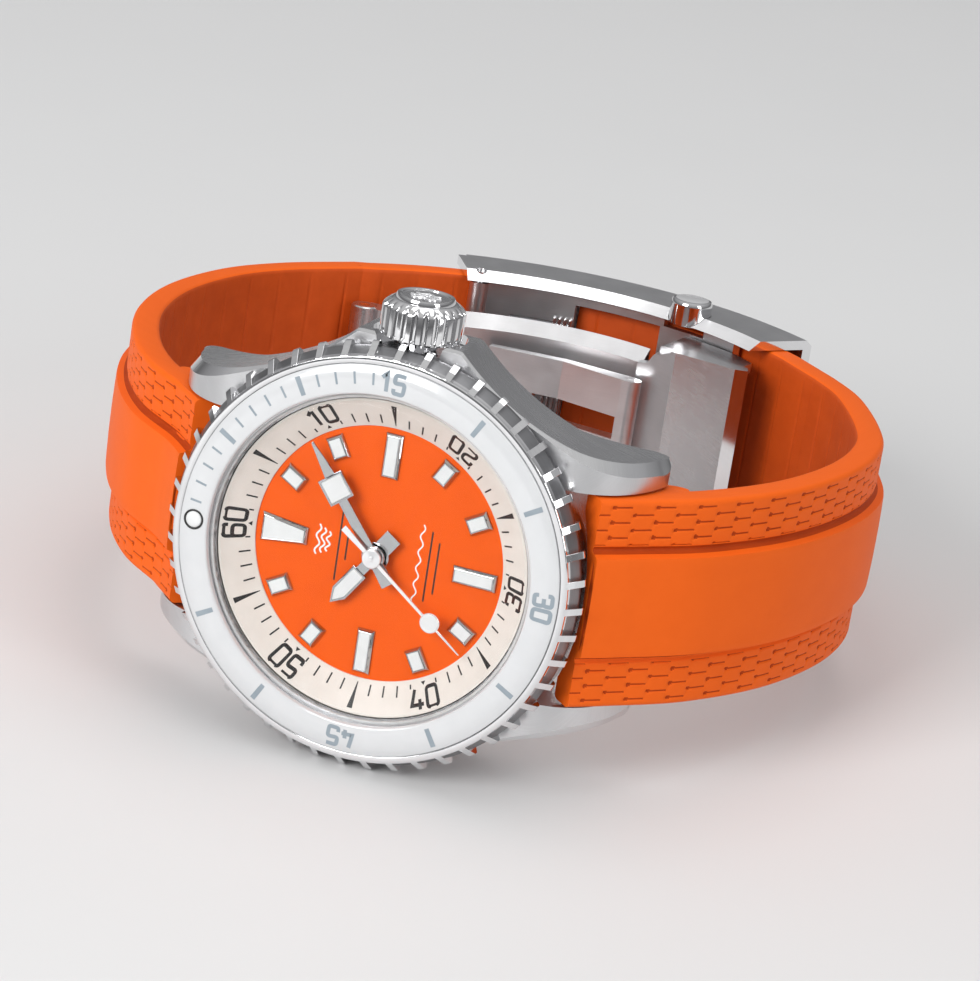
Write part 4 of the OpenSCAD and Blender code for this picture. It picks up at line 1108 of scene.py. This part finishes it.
LEVER_HALF = 4.8
lever_side = [(-9.3, 53.6), (-9.3, 52.6), (-2, 53.2), (4.4, 51.6), (5.2, 51.5), (5.2, 53.4), (-2, 54.3)]
lever = joined([prism(lever_side, -LEVER_HALF, LEVER_HALF), post(LEVER_PIN, 0.9, -LEVER_HALF, LEVER_HALF)],
               [post(LEVER_PIN, 0.54, -20, 20), crate((-0.1, 53, 0), (8.8, 6, 2.2), Matrix.Identity(4))],
               clasp_steel)
piece("clasp_lever", lever, clasp_steel, "clasp_blade", place=STRAP, stands_for=["clasp_blade"],
      bevel=0.06, steps=1, bevel_over=60, sharp=5, grain=grain_along(0))

for s, name in ((1, "upper"), (-1, "lower")):
    cap = lathe([(0, 11.3), (1.6, 11.3), (1.85, 11.24), (1.98, 11.05), (2, 10.8), (2, 8.9), (0, 8.9)], 64,
                [0, 1, 1, 1, 1, 1, 1])
    knob = Shape().add(*moved(cap, lambda p, s=s: Vector((p.x + BUTTON[0], p.y + BUTTON[1], s*p.z))))
    piece(f"clasp_push_{name}", knob, [highlight_steel, polished], f"button_{name}", place=STRAP,
          stands_for=[f"button_{name}"], sharp=40)

# ---------- soft edges on CAD nodes that stay
for name in ("caseback", "rotor", "mainplate", "barrel_bridge", "train_bridge"):
    o = nodes[name]
    b = o.modifiers.new("edge", "BEVEL")
    b.width, b.segments, b.limit_method, b.angle_limit = 0.00006, 1, "ANGLE", rad(40)

# ---------- stage, light and camera
lo, hi = cad_box
me = bpy.data.meshes.new("floor")
reach = 1.2
corners = [(x*reach, y*reach, 0) for x, y in ((-1, -1), (1, -1), (1, 1), (-1, 1))]
me.from_pydata(corners, [], [(0, 1, 2, 3)])
floor = bpy.data.objects.new("floor", me)
bpy.context.scene.collection.objects.link(floor)
paper = Look("paper")
s = paper.shader(Roughness=0.6, Specular_IOR_Level=0.2)
fac = paper.noise(paper.coords((30, 30, 30), False), 1.0, 3.0, 0.5)
paper.link(paper.ramp(fac, (0.7, 0.7, 0.7), (0.72, 0.72, 0.72)), s.inputs["Base Color"])
me.materials.append(paper.mat)


def lamp(name, at, aim, size, watts, colour=(1, 1, 1)):
    d = bpy.data.lights.new(name, "AREA")
    d.shape, d.size, d.size_y, d.energy, d.color = "RECTANGLE", size[0], size[1], watts, colour
    o = bpy.data.objects.new(name, d)
    o.location = at
    o.rotation_euler = (Vector(aim) - Vector(at)).to_track_quat("-Z", "Y").to_euler()
    bpy.context.scene.collection.objects.link(o)
    return o


middle = (lo + hi)/2
lamp("key", (-0.22, -0.5, 0.32), middle, (0.3, 0.3), 2.7)
lamp("top", (0.05, 0.1, 0.6), middle, (0.5, 0.35), 0.9)
lamp("side", (0.55, -0.25, 0.25), middle, (0.2, 0.35), 0.8)

world = bpy.data.worlds.new("studio")
bpy.context.scene.world = world
world.use_nodes = True
wt = world.node_tree
sky = wt.nodes.new("ShaderNodeTexCoord")
split = wt.nodes.new("ShaderNodeSeparateXYZ")
tone = wt.nodes.new("ShaderNodeValToRGB")
wt.links.new(sky.outputs["Generated"], split.inputs[0])
wt.links.new(split.outputs["Z"], tone.inputs["Fac"])
tone.color_ramp.elements[0].position, tone.color_ramp.elements[0].color = 0.0, (0.45, 0.45, 0.46, 1)
tone.color_ramp.elements[1].position, tone.color_ramp.elements[1].color = 0.85, (1, 1, 1, 1)
for height, grey in ((0.08, 0.22), (0.22, 0.42), (0.5, 0.68)):
    tone.color_ramp.elements.new(height).color = (grey, grey, grey*1.02, 1)
wt.links.new(tone.outputs[0], wt.nodes["Background"].inputs["Color"])
wt.nodes["Background"].inputs["Strength"].default_value = 0.62

lens = bpy.data.cameras.new("camera")
camera = bpy.data.objects.new("camera", lens)
bpy.context.scene.collection.objects.link(camera)
lens.lens, lens.sensor_width, lens.sensor_fit = 128.44, 36, "AUTO"
lens.clip_start, lens.clip_end = 0.01, 10
# The camera's axes and its place, in strap coordinates
right = Vector((0.93464, 0.32264, 0.14951))
down = Vector((0.23169, -0.23358, -0.94433))
ahead = Vector((-0.26975, 0.91725, -0.29306))
turn = STRAP.to_3x3().normalized()
m = Matrix((turn @ right, turn @ -down, turn @ -ahead)).transposed().to_4x4()
m.translation = STRAP @ Vector((83.956, -256.546, 89.525))
camera.matrix_world = m
bpy.context.scene.camera = camera
bpy.context.scene.view_settings.view_transform = "Standard"
